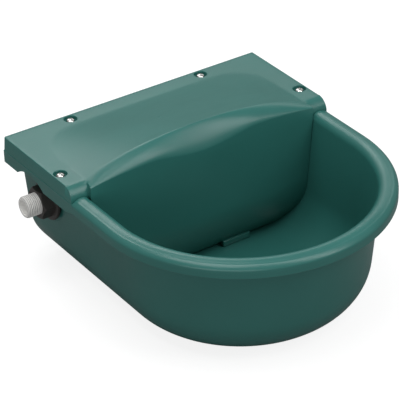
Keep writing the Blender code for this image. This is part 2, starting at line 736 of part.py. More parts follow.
def add_inlet_fittings():
    """Gaskets, lock nut, strainer and nozzle on the valve body."""
    at = valve_planes()
    axis = (0, INLET_Y, INLET_Z)
    seat = seat_plane()
    hole = THREAD_RADIUS + FIT_GAP
    outer = seat + FIT_GAP + GASKET_THICKNESS
    inner = seat - WALL - FIT_GAP
    for name, top in (("outer_gasket", outer), ("inner_gasket", inner)):
        bottom = top - GASKET_THICKNESS
        outline = [(GASKET_RADIUS, top), (GASKET_RADIUS, bottom), (hole, bottom), (hole, top)]
        turned(name, outline, black_rubber, axis, LEFTWARD)
    low = outer + FIT_GAP
    high = low + NUT_LENGTH
    hexagon_base = low + NUT_FLANGE_THICKNESS / 2
    nut_mesh = mesh_from(hexagon(NUT_ACROSS_FLATS, hexagon_base, high), "inlet_lock_nut")
    nut = place("inlet_lock_nut", nut_mesh, black_plastic, axis, LEFTWARD)
    flange = disc(NUT_FLANGE_RADIUS, low, low + NUT_FLANGE_THICKNESS, steps=40)
    combine(nut, tool("lock_nut_flange", flange, axis, LEFTWARD), "UNION")
    way = disc(hole, low - WALL, high + WALL)
    combine(nut, tool("lock_nut_bore", way, axis, LEFTWARD), "DIFFERENCE")
    top = STUB_END - STRAINER_DEPTH
    bottom = top - STRAINER_LENGTH
    cup = STRAINER_CUP_RADIUS
    outline = [
        (BORE_RADIUS - FIT_GAP, top),
        (BORE_RADIUS - FIT_GAP, top - STRAINER_WALL),
        (cup, top - STRAINER_WALL),
        (cup, bottom),
        (0, bottom),
        (0, bottom + STRAINER_WALL),
        (cup - STRAINER_WALL, bottom + STRAINER_WALL),
        (cup - STRAINER_WALL, top),
    ]
    strainer = turned("inlet_strainer", outline, white_plastic, axis, LEFTWARD, steps=24)
    for i in range(STRAINER_SLOTS):
        slot = box((2 * BORE_RADIUS, SLOT_WIDTH / 2, STRAINER_LENGTH / 2), (0, 0, (top + bottom) / 2))
        turned_slot = Matrix.Rotation(math.pi / STRAINER_SLOTS * i, 3, "Z")
        bmesh.ops.rotate(slot, cent=(0, 0, 0), matrix=turned_slot, verts=slot.verts)
        combine(strainer, tool("strainer_slot_%d" % i, slot, axis, LEFTWARD), "DIFFERENCE")
    flange_top = at["step"] + FIT_GAP + NOZZLE_FLANGE
    shoulder = at["lip"] + SEAT_LIP_HEIGHT
    outline = [
        (BORE_RADIUS - FIT_GAP, flange_top),
        (BORE_RADIUS - FIT_GAP, at["step"] + FIT_GAP),
        (PLUNGER_RADIUS, at["step"] + FIT_GAP),
        (PLUNGER_RADIUS, shoulder),
        (SEAT_LIP_RADIUS + SEAT_LIP_HEIGHT / 2, shoulder),
        (SEAT_LIP_RADIUS, at["lip"]),
        (NOZZLE_ORIFICE_RADIUS, at["lip"]),
        (NOZZLE_ORIFICE_RADIUS, flange_top - NOZZLE_FLANGE),
        (SEAT_LIP_RADIUS, flange_top),
    ]
    turned("nozzle_seat", outline, brass, axis, LEFTWARD, steps=24)


def add_plunger():
    """Sliding plunger with the rubber seal that shuts the nozzle."""
    at = valve_planes()
    front = at["seal_face"] - SEAL_PROUD
    pocket_floor = at["seal_face"] - SEAL_THICKNESS - FIT_GAP
    pocket = SEAL_RADIUS + FIT_GAP
    outline = [
        (pocket, 0),
        (PLUNGER_RADIUS, 0),
        (PLUNGER_RADIUS, at["plunger_end"] + PLUNGER_TAIL_RADIUS - front),
        (PLUNGER_TAIL_RADIUS, at["plunger_end"] - front),
        (0, at["plunger_end"] - front),
        (0, pocket_floor - front),
        (pocket, pocket_floor - front),
    ]
    plunger = turned("valve_plunger", outline, white_plastic, (-front, INLET_Y, INLET_Z), LEFTWARD)
    outline = [(0, 0), (SEAL_RADIUS, 0), (SEAL_RADIUS, -SEAL_THICKNESS), (0, -SEAL_THICKNESS)]
    seal = turned("plunger_seal", outline, black_rubber)
    seal.parent = plunger
    seal.location = (0, 0, SEAL_PROUD)


def add_pivot():
    """Pin through the ears and the lever, with its clip."""
    ear_face = FORK_HALF_GAP + EAR_THICKNESS
    groove = PIN_RADIUS - PIN_GROOVE_DEPTH
    groove_top = ear_face + 2 * FIT_GAP + CLIP_THICKNESS
    head_top = -ear_face - FIT_GAP
    outline = [
        (0, groove_top + PIN_END),
        (PIN_RADIUS, groove_top + PIN_END),
        (PIN_RADIUS, groove_top),
        (groove, groove_top),
        (groove, ear_face),
        (PIN_RADIUS, ear_face),
        (PIN_RADIUS, head_top),
        (PIN_HEAD_RADIUS, head_top),
        (PIN_HEAD_RADIUS, head_top - PIN_HEAD_HEIGHT),
        (0, head_top - PIN_HEAD_HEIGHT),
    ]
    turned("pivot_pin", outline, bright_steel, pivot_place(), WALLWARD, steps=24)
    bottom = ear_face + FIT_GAP
    top = bottom + CLIP_THICKNESS
    hole = groove + FIT_GAP
    outline = [(CLIP_RADIUS, top), (CLIP_RADIUS, bottom), (hole, bottom), (hole, top)]
    turned("pin_clip", outline, bright_steel, pivot_place(), WALLWARD, steps=24)


def add_float_lever():
    """Bell-crank lever on the pivot, with the adjusting screw above and the float on its rod."""
    at = valve_planes()
    hub_half = FORK_HALF_GAP - FIT_GAP
    hub = disc(HUB_RADIUS, -hub_half, hub_half, steps=24)
    bmesh.ops.rotate(hub, cent=(0, 0, 0), matrix=Matrix.Rotation(-math.pi / 2, 3, "X"), verts=hub.verts)
    arm = place("float_arm", mesh_from(hub, "float_arm"), grey_plastic, pivot_place())
    lever_top = PIVOT_DROP + LEVER_OVERHANG
    lever = box((LEVER_THICKNESS, LEVER_WIDTH, lever_top), (0, 0, lever_top / 2))
    combine(arm, tool("lever", lever, pivot_place()), "UNION")
    droop = (0, ARM_DROOP, 0)
    float_face = FLOAT_RADIUS + FLOAT_BOSS_PROUD
    shoulder = FLOAT_FROM_PIVOT - float_face - FIT_GAP
    beam = box((shoulder, LEVER_WIDTH, ARM_THICKNESS), (shoulder / 2, 0, 0))
    combine(arm, tool("arm_beam", beam, pivot_place(), droop), "UNION")
    nut_base = FLOAT_FROM_PIVOT + float_face + FIT_GAP
    rod_end = nut_base + FLOAT_NUT_THICKNESS + ROD_END
    along_arm = (0, math.pi / 2 + ARM_DROOP, 0)
    collar = disc(LEVER_WIDTH / 2 + ARM_THICKNESS / 4, shoulder - ARM_THICKNESS, shoulder, steps=24)
    combine(arm, tool("arm_collar", collar, pivot_place(), along_arm), "UNION")
    rod = disc(ROD_RADIUS, shoulder - ARM_THICKNESS, rod_end, steps=20)
    combine(arm, tool("arm_rod", rod, pivot_place(), along_arm), "UNION")
    pin_way = disc(PIN_RADIUS + FIT_GAP, -2 * hub_half, 2 * hub_half, steps=24)
    combine(arm, tool("hub_bore", pin_way, pivot_place(), WALLWARD), "DIFFERENCE")
    x, y, z = pivot_place()
    screw_way = disc(ADJUSTER_RADIUS + FIT_GAP, -2 * LEVER_THICKNESS, 2 * LEVER_THICKNESS, steps=20)
    combine(arm, tool("adjuster_way", screw_way, (x, y, INLET_Z), LEFTWARD), "DIFFERENCE")
    add_adjuster(arm, at)
    add_float(arm, nut_base)


def add_adjuster(arm, at):
    """Adjusting screw that presses the plunger, and its lock nut on the lever."""
    tip = at["plunger_end"] - FIT_GAP - at["pivot"]
    low = tip - ADJUSTER_LENGTH
    round_tip = 3 * ADJUSTER_RADIUS / 4
    outline = [
        (0, tip),
        (ADJUSTER_RADIUS - round_tip, tip),
        (ADJUSTER_RADIUS, tip - round_tip),
        (ADJUSTER_RADIUS, low),
        (ADJUSTER_HEAD_RADIUS, low),
        (ADJUSTER_HEAD_RADIUS, low - ADJUSTER_HEAD_HEIGHT),
        (0, low - ADJUSTER_HEAD_HEIGHT),
    ]
    screw = turned("adjusting_screw", outline, brass, (0, 0, PIVOT_DROP), LEFTWARD, steps=20)
    screw.parent = arm
    x, y, z = pivot_place()
    slot = box((2 * ADJUSTER_HEAD_RADIUS, SLOT_WIDTH / 2, ADJUSTER_HEAD_HEIGHT),
               (0, 0, low - ADJUSTER_HEAD_HEIGHT))
    combine(screw, tool("adjuster_slot", slot, (x, y, INLET_Z), LEFTWARD), "DIFFERENCE")
    top = -LEVER_THICKNESS / 2 - FIT_GAP
    bottom = top - ADJUSTER_NUT_THICKNESS
    nut_mesh = mesh_from(hexagon(ADJUSTER_NUT_FLATS, bottom, top), "adjusting_lock_nut")
    nut = place("adjusting_lock_nut", nut_mesh, brass, (0, 0, PIVOT_DROP), LEFTWARD)
    nut.parent = arm
    way = disc(ADJUSTER_RADIUS + FIT_GAP, 2 * bottom, 0, steps=20)
    combine(nut, tool("adjusting_nut_bore", way, (x, y, INLET_Z), LEFTWARD), "DIFFERENCE")


def add_float(arm, nut_base):
    """Drum float across the arm, with flat bosses for the rod's collar and the float nut."""
    x, y, z = pivot_place()
    centre = (
        FLOAT_FROM_PIVOT * math.cos(ARM_DROOP),
        0,
        -FLOAT_FROM_PIVOT * math.sin(ARM_DROOP),
    )
    half = FLOAT_LENGTH / 2
    outline = [(0, half)]
    for i in range(FLOAT_EDGE_STEPS + 1):
        a = math.pi / 2 * (1 - i / FLOAT_EDGE_STEPS)
        outline.append((FLOAT_RADIUS - FLOAT_EDGE * (1 - math.cos(a)), half - FLOAT_EDGE * (1 - math.sin(a))))
    outline += [(r, -z) for r, z in outline[::-1]]
    drum = turned("float", outline, float_white, centre, WALLWARD, steps=40)
    drum.parent = arm
    along_arm = (0, math.pi / 2 + ARM_DROOP, 0)
    reach = FLOAT_RADIUS + FLOAT_BOSS_PROUD
    place_of_float = (x + centre[0], y, z + centre[2])
    boss = disc(FLOAT_BOSS_RADIUS, -reach, reach, steps=28)
    combine(drum, tool("float_boss", boss, place_of_float, along_arm), "UNION")
    way = disc(ROD_RADIUS + FIT_GAP, -2 * reach, 2 * reach, steps=20)
    combine(drum, tool("float_bore", way, place_of_float, along_arm), "DIFFERENCE")
    top = nut_base + FLOAT_NUT_THICKNESS
    hole = ROD_RADIUS + FIT_GAP
    edge = FLOAT_NUT_THICKNESS / 6
    outline = [
        (FLOAT_NUT_RADIUS - edge, top),
        (FLOAT_NUT_RADIUS, top - edge),
        (FLOAT_NUT_RADIUS, nut_base + edge),
        (FLOAT_NUT_RADIUS - edge, nut_base),
        (hole, nut_base),
        (hole, top),
    ]
    nut = turned("float_nut", outline, brass, (0, 0, 0), along_arm, steps=24)
    nut.parent = arm


def add_blanking_plug():
    """Plug, gasket and nut that close the unused inlet hole on the right."""
    axis = (0, INLET_Y, INLET_Z)
    seat = seat_plane()
    hole = THREAD_RADIUS + FIT_GAP
    gasket_top = seat + FIT_GAP + GASKET_THICKNESS
    gasket_bottom = seat + FIT_GAP
    outline = [
        (GASKET_RADIUS, gasket_top),
        (GASKET_RADIUS, gasket_bottom),
        (hole, gasket_bottom),
        (hole, gasket_top),
    ]
    turned("blanking_gasket", outline, black_rubber, axis, RIGHTWARD)
    head = gasket_top + FIT_GAP
    edge = BLANKING_HEAD / 4
    end = head - BLANKING_SHANK
    outline = [
        (0, head + BLANKING_HEAD),
        (GASKET_RADIUS - edge, head + BLANKING_HEAD),
        (GASKET_RADIUS, head + BLANKING_HEAD - edge),
        (GASKET_RADIUS, head),
        (THREAD_RADIUS, head),
        (THREAD_RADIUS, end),
        (BORE_RADIUS, end),
        (BORE_RADIUS, head),
        (0, head),
    ]
    plug = turned("blanking_plug", outline, black_plastic, axis, RIGHTWARD)
    slot = box((2 * THREAD_RADIUS, SLOT_WIDTH, BLANKING_HEAD), (0, 0, head + BLANKING_HEAD))
    combine(plug, tool("blanking_slot", slot, axis, RIGHTWARD), "DIFFERENCE")
    top = seat - WALL - FIT_GAP
    bottom = top - BLANKING_NUT_THICKNESS
    nut_mesh = mesh_from(hexagon(BLANKING_NUT_FLATS, bottom, top), "blanking_nut")
    nut = place("blanking_nut", nut_mesh, black_plastic, axis, RIGHTWARD)
    way = disc(hole, bottom - WALL, top + WALL)
    combine(nut, tool("blanking_nut_bore", way, axis, RIGHTWARD), "DIFFERENCE")


def add_drain_plug():
    """Rubber plug with a pull knob, standing in the floor's drain hole."""
    head = WALL + FIT_GAP
    top = head + DRAIN_HEAD_HEIGHT
    edge = DRAIN_HEAD_HEIGHT / 4
    outline = [
        (0, top + DRAIN_KNOB_HEIGHT),
        (DRAIN_KNOB_RADIUS, top + DRAIN_KNOB_HEIGHT),
        (DRAIN_KNOB_RADIUS, top + DRAIN_KNOB_HEIGHT / 2),
        (DRAIN_NECK_RADIUS, top + DRAIN_KNOB_HEIGHT / 3),
        (DRAIN_NECK_RADIUS, top),
        (DRAIN_HEAD_RADIUS - edge, top),
        (DRAIN_HEAD_RADIUS, top - edge),
        (DRAIN_HEAD_RADIUS, head),
        (DRAIN_RADIUS - FIT_GAP, head),
        (DRAIN_RADIUS - FIT_GAP, DRAIN_BASE_GAP),
        (0, DRAIN_BASE_GAP),
    ]
    turned("drain_plug", outline, black_rubber, (DRAIN_X, DRAIN_Y, 0))


for old in list(bpy.data.objects):
    bpy.data.objects.remove(old, do_unlink=True)
model = bpy.data.collections.new("float_drinking_bowl")
cutters = bpy.data.collections.new("cutters")
bpy.context.scene.collection.children.link(model)
bpy.context.scene.collection.children.link(cutters)

green_plastic = finish_of("green_plastic", (0.011, 0.105, 0.082), 0.34)
bright_steel = finish_of("bright_steel", (0.72, 0.72, 0.70), 0.22, 1.0)
white_plastic = finish_of("white_plastic", (0.78, 0.78, 0.75), 0.40)
black_plastic = finish_of("black_plastic", (0.012, 0.011, 0.010), 0.45)
black_rubber = finish_of("black_rubber", (0.015, 0.015, 0.015), 0.70)
grey_plastic = finish_of("grey_plastic", (0.45, 0.46, 0.46), 0.45)
float_white = finish_of("float_white", (0.80, 0.81, 0.80), 0.60)
brass = finish_of("brass", (0.62, 0.45, 0.20), 0.30, 1.0)

add_bowl_body()
add_cover()
add_cover_screws()
add_valve_body()
add_inlet_fittings()
add_plunger()
add_pivot()
add_float_lever()
add_blanking_plug()
add_drain_plug()
bpy.context.view_layer.update()
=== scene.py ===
import math

import bmesh
import bpy
from mathutils import Matrix, Vector


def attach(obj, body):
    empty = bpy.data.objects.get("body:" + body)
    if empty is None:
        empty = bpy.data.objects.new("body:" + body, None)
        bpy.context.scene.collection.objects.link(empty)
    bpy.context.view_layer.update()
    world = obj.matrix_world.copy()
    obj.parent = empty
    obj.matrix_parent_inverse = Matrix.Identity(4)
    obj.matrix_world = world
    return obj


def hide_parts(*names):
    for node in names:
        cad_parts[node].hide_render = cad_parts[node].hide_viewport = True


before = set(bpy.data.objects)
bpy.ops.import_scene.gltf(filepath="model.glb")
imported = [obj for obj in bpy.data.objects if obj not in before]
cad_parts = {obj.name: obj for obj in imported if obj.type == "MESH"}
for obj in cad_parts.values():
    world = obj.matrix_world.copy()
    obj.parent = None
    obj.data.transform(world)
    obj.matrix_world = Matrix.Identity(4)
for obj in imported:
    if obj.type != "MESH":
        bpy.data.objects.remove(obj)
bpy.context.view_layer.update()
bpy.context.scene.view_settings.view_transform = "Standard"


# The camera stands two metres away behind a long lens, round to the bowl's left and well
# above it, and leans a little, as the photograph's own outlines show.
camera_aim = Vector((0.0, 0.06582, 0.06605))
camera_round = math.radians(-33.5)
camera_rise = math.radians(31.591)
camera_lean = math.radians(-1.506)
camera_distance = 1.99966
towards_camera = Vector((
    math.sin(camera_round) * math.cos(camera_rise),
    -math.cos(camera_round) * math.cos(camera_rise),
    math.sin(camera_rise),
))
bpy.ops.object.camera_add(location=camera_aim + towards_camera * camera_distance)
camera = bpy.context.object
upright_view = towards_camera.to_track_quat("Z", "Y").to_matrix()
camera.rotation_euler = (upright_view @ Matrix.Rotation(camera_lean, 3, "Z")).to_euler()
camera.data.sensor_width = 36.0
camera.data.lens = 193.8135
camera.data.clip_end = 20.0
bpy.context.scene.camera = camera


# A white studio table under five soft lamps. Two behind the bowl and one over it shine in its
# upward faces, a tall one in front draws the streaks along its edges, and a wide one on the
# left lifts the shaded side.
def softbox(name, towards, distance, width, height, radiance):
    """A rectangular lamp that faces the bowl, placed by its direction and distance."""
    direction = Vector(towards).normalized()
    bpy.ops.object.light_add(type="AREA", location=camera_aim + direction * distance)
    lamp = bpy.context.object
    lamp.name = name
    lamp.rotation_euler = direction.to_track_quat("Z", "Y").to_euler()
    lamp.data.shape = "RECTANGLE"
    lamp.data.size = width
    lamp.data.size_y = height
    lamp.data.energy = radiance * math.pi * width * height


softbox("rear_softbox", (0.46, 0.74, 0.57), 2.2, 3.4, 0.50, 1.25)
softbox("high_rear_softbox", (0.16, 0.72, 0.74), 2.1, 1.2, 0.55, 3.2)
softbox("overhead_softbox", (-0.22, -0.04, 0.97), 1.6, 1.1, 1.0, 3.6)
softbox("streak_softbox", (0.34, -0.57, 0.71), 2.2, 0.60, 2.1, 4.2)
softbox("left_fill", (-0.70, -0.65, 0.24), 2.4, 2.2, 1.0, 1.8)

# The camera sees a white room, while diffuse and mirrored light come from a dimmer one.
room_seen = 1.0
room_mirrored = 0.30
room_diffuse = 0.20
studio = bpy.data.worlds.new("studio")
studio.use_nodes = True
bpy.context.scene.world = studio
sky_nodes = studio.node_tree.nodes
sky_links = studio.node_tree.links
sky = sky_nodes["Background"]
sky.inputs["Color"].default_value = (1.0, 1.0, 1.0, 1.0)
ray = sky_nodes.new("ShaderNodeLightPath")
mirrored = sky_nodes.new("ShaderNodeMath")
mirrored.operation = "MAXIMUM"
mirrored_level = sky_nodes.new("ShaderNodeMapRange")
mirrored_level.inputs["To Min"].default_value = room_diffuse
mirrored_level.inputs["To Max"].default_value = room_mirrored
sky_level = sky_nodes.new("ShaderNodeMapRange")
sky_level.inputs["To Max"].default_value = room_seen
sky_links.new(ray.outputs["Is Glossy Ray"], mirrored.inputs[0])
sky_links.new(ray.outputs["Is Transmission Ray"], mirrored.inputs[1])
sky_links.new(mirrored.outputs["Value"], mirrored_level.inputs["Value"])
sky_links.new(mirrored_level.outputs["Result"], sky_level.inputs["To Min"])
sky_links.new(ray.outputs["Is Camera Ray"], sky_level.inputs["Value"])
sky_links.new(sky_level.outputs["Result"], sky.inputs["Strength"])

# The table lies just under the bowl's foot, and glows for the camera alone, so that it looks
# white and still takes the bowl's shadow.
table_size = 14.0
table_level = -0.0001
table_grey = 0.28
table_seen = 0.84
bpy.ops.mesh.primitive_plane_add(size=table_size, location=(0.0, 0.0, table_level))
table = bpy.context.object
table.name = "studio_table"
table_white = bpy.data.materials.new("table_white")
table_white.use_nodes = True
table_nodes = table_white.node_tree.nodes
table_links = table_white.node_tree.links
table_paint = table_nodes["Principled BSDF"]
table_paint.inputs["Base Color"].default_value = (table_grey, table_grey, table_grey, 1.0)
table_paint.inputs["Roughness"].default_value = 0.9
table_paint.inputs["Specular IOR Level"].default_value = 0.0
table_paint.inputs["Emission Color"].default_value = (1.0, 1.0, 1.0, 1.0)
table_ray = table_nodes.new("ShaderNodeLightPath")
table_glow = table_nodes.new("ShaderNodeMapRange")
table_glow.inputs["To Max"].default_value = table_seen
table_links.new(table_ray.outputs["Is Camera Ray"], table_glow.inputs["Value"])
table_links.new(table_glow.outputs["Result"], table_paint.inputs["Emission Strength"])
table.data.materials.append(table_white)


# The bowl is one injection moulding in dark green plastic: a D-shaped basin with a drafted
# wall, a rolled rim round the front, and a flat flange with a turned-down edge behind.
bowl_wall = 0.003
bowl_draft = math.radians(5.4)
bowl_half = 0.1263
bowl_back = 0.178
base_round = 0.0462
back_round = 0.032
rear_corner = 0.0042
flange_top = 0.1167
flange_bottom = flange_top - bowl_wall
rim_half = 0.1415
rim_top = 0.1207
rim_inner_round = 0.0082
rim_lip = 0.107
flange_lip = 0.1033
rim_end = 0.0576
flange_start = 0.0582
front_end = (rim_end + flange_start) / 2
corner_line = 0.115
wall_heights = (0.060, 0.085, 0.105)
wall_top = 0.1155
lip_top = 0.1045
lip_inside = 0.138
round_steps = 144
roll_steps = 10
corner_steps = 6
near = 0.00001
same_point = 0.000001


def wall_half(height, inset=0.0):
    """Half-width of the drafted wall at a height, inset from its outer face."""
    return bowl_half - math.tan(bowl_draft) * (flange_top - height) - inset / math.cos(bowl_draft)


def base_levels(inset, steps=18):
    """Half-width, height, back plane and rear corner radius of the rounded base, from below."""
    middle = wall_half(base_round) - base_round / math.cos(bowl_draft)
    radius = base_round - inset
    levels = []
    for step in range(steps + 1):
        turn = -math.pi / 2 + (math.pi / 2 - bowl_draft) * step / steps
        half = middle + radius * math.cos(turn)
        height = base_round + radius * math.sin(turn)
        drop = min(back_round - inset, max(0.0, back_round - height))
        back = bowl_back - back_round + math.sqrt((back_round - inset) ** 2 - drop ** 2)
        corner = rear_corner - inset + (wall_half(height, inset) - half) / 2
        levels.append((half, height, half, height, back, corner))
    return levels


def wall_level(height, inset):
    """One level of the straight wall."""
    half = wall_half(height, inset)
    return (half, height, half, height, bowl_back - inset, rear_corner - inset)


# Each level is the rim's half-width and height in front, and the flange's behind. A level of
# the wall has the back plane and the radius of the rear corners too.
outer_levels = base_levels(0.0)
outer_levels += [wall_level(height, 0.0) for height in wall_heights]
outer_levels.append((
    wall_half(wall_top), wall_top, wall_half(flange_bottom), flange_bottom, bowl_back, rear_corner,
))
edge_levels = [
    (0.1385, wall_top, 0.1385, flange_bottom),
    (0.1385, 0.1076, 0.1385, 0.1039),
    (0.1388, 0.1071, 0.1388, 0.1034),
    (0.1400, rim_lip, 0.1400, flange_lip),
    (0.1411, 0.1071, 0.1411, 0.1034),
    (rim_half, 0.1076, rim_half, 0.1039),
    (rim_half, 0.1110, rim_half, 0.1100),
    (rim_half, 0.1145, rim_half, 0.1162),
    (0.14135, 0.1154, 0.14135, 0.1164),
    (0.1409, 0.1163, 0.1411, 0.1166),
    (0.1401, 0.1173, 0.1407, flange_top),
    (0.1388, 0.1184, 0.1400, flange_top),
    (0.1376, 0.1192, 0.1390, flange_top),
    (0.1369, 0.1195, 0.1380, flange_top),
    (0.1363, 0.1195, 0.1370, flange_top),
    (0.1357, 0.1197, 0.1355, flange_top),
    (0.1345, 0.1202, 0.1330, flange_top),
    (0.1328, 0.1206, 0.1300, flange_top),
]
inner_half = wall_half(rim_top - rim_inner_round, bowl_wall)
rolled_levels = []
for step in range(roll_steps + 1):
    turn = math.pi / 2 * step / roll_steps
    inset = bowl_wall * step / roll_steps
    rolled_levels.append((
        inner_half + rim_inner_round * (1 - math.sin(turn)),
        rim_top - rim_inner_round * (1 - math.cos(turn)),
        wall_half(flange_top, inset),
        flange_top,
        bowl_back - inset,
        rear_corner - inset,
    ))
inner_levels = [wall_level(height, bowl_wall) for height in reversed(wall_heights)]
inner_levels += base_levels(bowl_wall)[::-1]


def ring_points(mesh):
    """The selected corner points of an edited mesh, as numbers."""
    work = bmesh.from_edit_mesh(mesh)
    work.verts.index_update()
    return [v.index for v in work.verts if v.select]


def all_points(mesh):
    """Every point of an edited mesh, as numbers."""
    return range(len(bmesh.from_edit_mesh(mesh).verts))


def choose(mesh, numbers, test):
    """Select only those of the numbered points whose place passes the test."""
    bpy.ops.mesh.select_all(action="DESELECT")
    work = bmesh.from_edit_mesh(mesh)
    work.verts.ensure_lookup_table()
    for number in numbers:
        if test(work.verts[number].co):
            work.verts[number].select_set(True)
    work.select_flush_mode()
    bmesh.update_edit_mesh(mesh)


def choose_edges(mesh, test):
    """Select only the edges whose two ends pass the test together."""
    bpy.ops.mesh.select_mode(type="EDGE")
    bpy.ops.mesh.select_all(action="DESELECT")
    work = bmesh.from_edit_mesh(mesh)
    for edge in work.edges:
        if test(edge.verts[0].co, edge.verts[1].co):
            edge.select_set(True)
    bmesh.update_edit_mesh(mesh)


def widen_ring(mesh, ring, level, before):
    """Move a fresh ring to its level: the rim's half-round in front, the flange's sides behind."""
    round_grow = level[0] / before[0]
    side_grow = level[2] / before[2]
    choose(mesh, ring, lambda place: place.y < front_end)
    bpy.ops.transform.resize(value=(round_grow, 1, 1), center_override=(0, 0, 0))
    bpy.ops.transform.translate(value=(0, 0, level[1] - before[1]))
    choose(mesh, ring, lambda place: place.y < -near)
    bpy.ops.transform.resize(value=(1, round_grow, 1), center_override=(0, 0, 0))
    choose(mesh, ring, lambda place: place.y > front_end)
    bpy.ops.transform.resize(value=(side_grow, 1, 1), center_override=(0, 0, 0))
    bpy.ops.transform.translate(value=(0, 0, level[3] - before[3]))


def close_corners(mesh, ring, level, before):
    """Bring a ring's back and its two rounded rear corners to their level."""
    shrink = level[5] / before[5]
    narrow = shrink * before[2] / level[2]
    choose(mesh, ring, lambda place: place.y > corner_line)
    bpy.ops.transform.translate(value=(0, level[4] - before[4], 0))
    for side in (-1, 1):
        choose(mesh, ring, lambda place: place.y > corner_line and place.x * side > 0)
        corner = (side * level[2], level[4], 0)
        bpy.ops.transform.resize(value=(narrow, shrink, 1), center_override=corner)


bpy.ops.object.select_all(action="DESELECT")
first = outer_levels[0]
bpy.ops.mesh.primitive_circle_add(
    vertices=round_steps, radius=first[0], fill_type="NOTHING", location=(0, 0, 0)
)
bowl = bpy.context.object
bowl.name = "moulded_bowl"
bpy.ops.object.mode_set(mode="EDIT")
bpy.ops.mesh.select_mode(type="VERT")
choose(bowl.data, all_points(bowl.data), lambda place: place.y > near)
bpy.ops.mesh.delete(type="VERT")
choose(bowl.data, all_points(bowl.data), lambda place: abs(place.y) < near)
side_steps = [0.020, 0.038, 0.052, rim_end, flange_start, 0.070, 0.090, 0.110]
for number in range(corner_steps + 1):
    side_steps.append(first[4] - first[5] * (1 - math.sin(math.pi / 2 * number / corner_steps)))
reached = 0.0
width = first[0]
for number, step in enumerate(side_steps):
    bpy.ops.mesh.extrude_vertices_move(TRANSFORM_OT_translate={"value": (0, step - reached, 0)})
    reached = step
    corner_step = number - len(side_steps) + corner_steps + 1
    if corner_step > 0:
        narrow = first[0] - first[5] * (1 - math.cos(math.pi / 2 * corner_step / corner_steps))
        bpy.ops.transform.resize(value=(narrow / width, 1, 1), center_override=(0, 0, 0))
        width = narrow
bpy.ops.mesh.edge_face_add()
bpy.ops.mesh.select_all(action="SELECT")

last = first
for level in outer_levels[1:]:
    bpy.ops.mesh.extrude_edges_move()
    ring = ring_points(bowl.data)
    widen_ring(bowl.data, ring, level, last)
    close_corners(bowl.data, ring, level, last)
    choose(bowl.data, ring, lambda place: True)
    last = level

# The flange and the rim are turned out from the wall and down, open where they meet the wall
# of the building, and come back over the top to the inner face.
choose_edges(bowl.data, lambda one, other: (
    min(one.z, other.z) > flange_bottom - near
    and not (min(one.y, other.y) > bowl_back - near and one.x * other.x < 0)
))
for number, level in enumerate(edge_levels):
    bpy.ops.mesh.extrude_edges_move()
    bpy.ops.mesh.select_mode(type="VERT")
    ring = ring_points(bowl.data)
    widen_ring(bowl.data, ring, level, last)
    if number == 0:
        for side in (-1, 1):
            choose(bowl.data, ring, lambda place: place.y > corner_line and place.x * side > 0)
            bpy.ops.transform.resize(value=(0, 1, 1), center_override=(side * level[2], 0, 0))
    choose(bowl.data, ring, lambda place: True)
    last = level
for number, level in enumerate(rolled_levels + inner_levels):
    bpy.ops.mesh.extrude_edges_move()
    ring = ring_points(bowl.data)
    widen_ring(bowl.data, ring, level, last)
    if number == 0:
        for step in range(1, corner_steps + 1):
            turn = math.pi / 2 * step / corner_steps
            row = level[4] - level[5] * (1 - math.sin(turn))
            for side in (-1, 1):
                choose(bowl.data, ring, lambda place: abs(place.y - row) < near and place.x * side > 0)
                bpy.ops.transform.translate(value=(-side * level[5] * (1 - math.cos(turn)), 0, 0))
        choose(bowl.data, ring, lambda place: place.y > bowl_back - near)
        bpy.ops.mesh.edge_face_add()
    else:
        close_corners(bowl.data, ring, level, last)
    choose(bowl.data, ring, lambda place: True)
    last = level
bpy.ops.mesh.select_all(action="SELECT")
bpy.ops.mesh.remove_doubles(threshold=same_point)
bpy.ops.mesh.fill_holes(sides=0)
bpy.ops.mesh.select_all(action="SELECT")
bpy.ops.mesh.normals_make_consistent(inside=False)
# Where the rim meets the flange, the flange's lower lip comes up to the rim's.
choose(bowl.data, all_points(bowl.data), lambda place: (
    abs(place.y - flange_start) < near and place.z < lip_top and abs(place.x) > lip_inside
))
bpy.ops.transform.translate(value=(0, 0, rim_lip - flange_lip))
bpy.ops.object.mode_set(mode="OBJECT")


def turned(name, outline, steps, at=(0.0, 0.0, 0.0), along="Z"):
    """A turned form: its outline is drawn, spun, and laid along an axis at a place."""
    bpy.ops.object.select_all(action="DESELECT")
    bpy.ops.mesh.primitive_plane_add(size=0.001, location=(0, 0, 0))
    form = bpy.context.object
    form.name = name
    bpy.ops.object.mode_set(mode="EDIT")
    bpy.ops.mesh.select_mode(type="VERT")
    bpy.ops.mesh.select_all(action="SELECT")
    bpy.ops.mesh.merge(type="CENTER")
    bpy.ops.transform.translate(value=(outline[0][0], 0, outline[0][1]))
    for here, there in zip(outline, outline[1:]):
        step = (there[0] - here[0], 0, there[1] - here[1])
        bpy.ops.mesh.extrude_vertices_move(TRANSFORM_OT_translate={"value": step})
    bpy.ops.mesh.select_all(action="SELECT")
    bpy.ops.mesh.spin(steps=steps, angle=2 * math.pi, center=(0, 0, 0), axis=(0, 0, 1))
    bpy.ops.mesh.select_all(action="SELECT")
    bpy.ops.mesh.remove_doubles(threshold=same_point)
    bpy.ops.mesh.fill_holes(sides=0)
    bpy.ops.mesh.select_all(action="SELECT")
    bpy.ops.mesh.normals_make_consistent(inside=False)
    bpy.ops.object.mode_set(mode="OBJECT")
    lay = {
        "X": Matrix.Rotation(math.pi / 2, 4, "Y"),
        "-X": Matrix.Rotation(-math.pi / 2, 4, "Y"),
        "Y": Matrix.Rotation(-math.pi / 2, 4, "X"),
        "Z": Matrix(),
    }[along]
    form.data.transform(Matrix.Translation(at) @ lay)
    return form


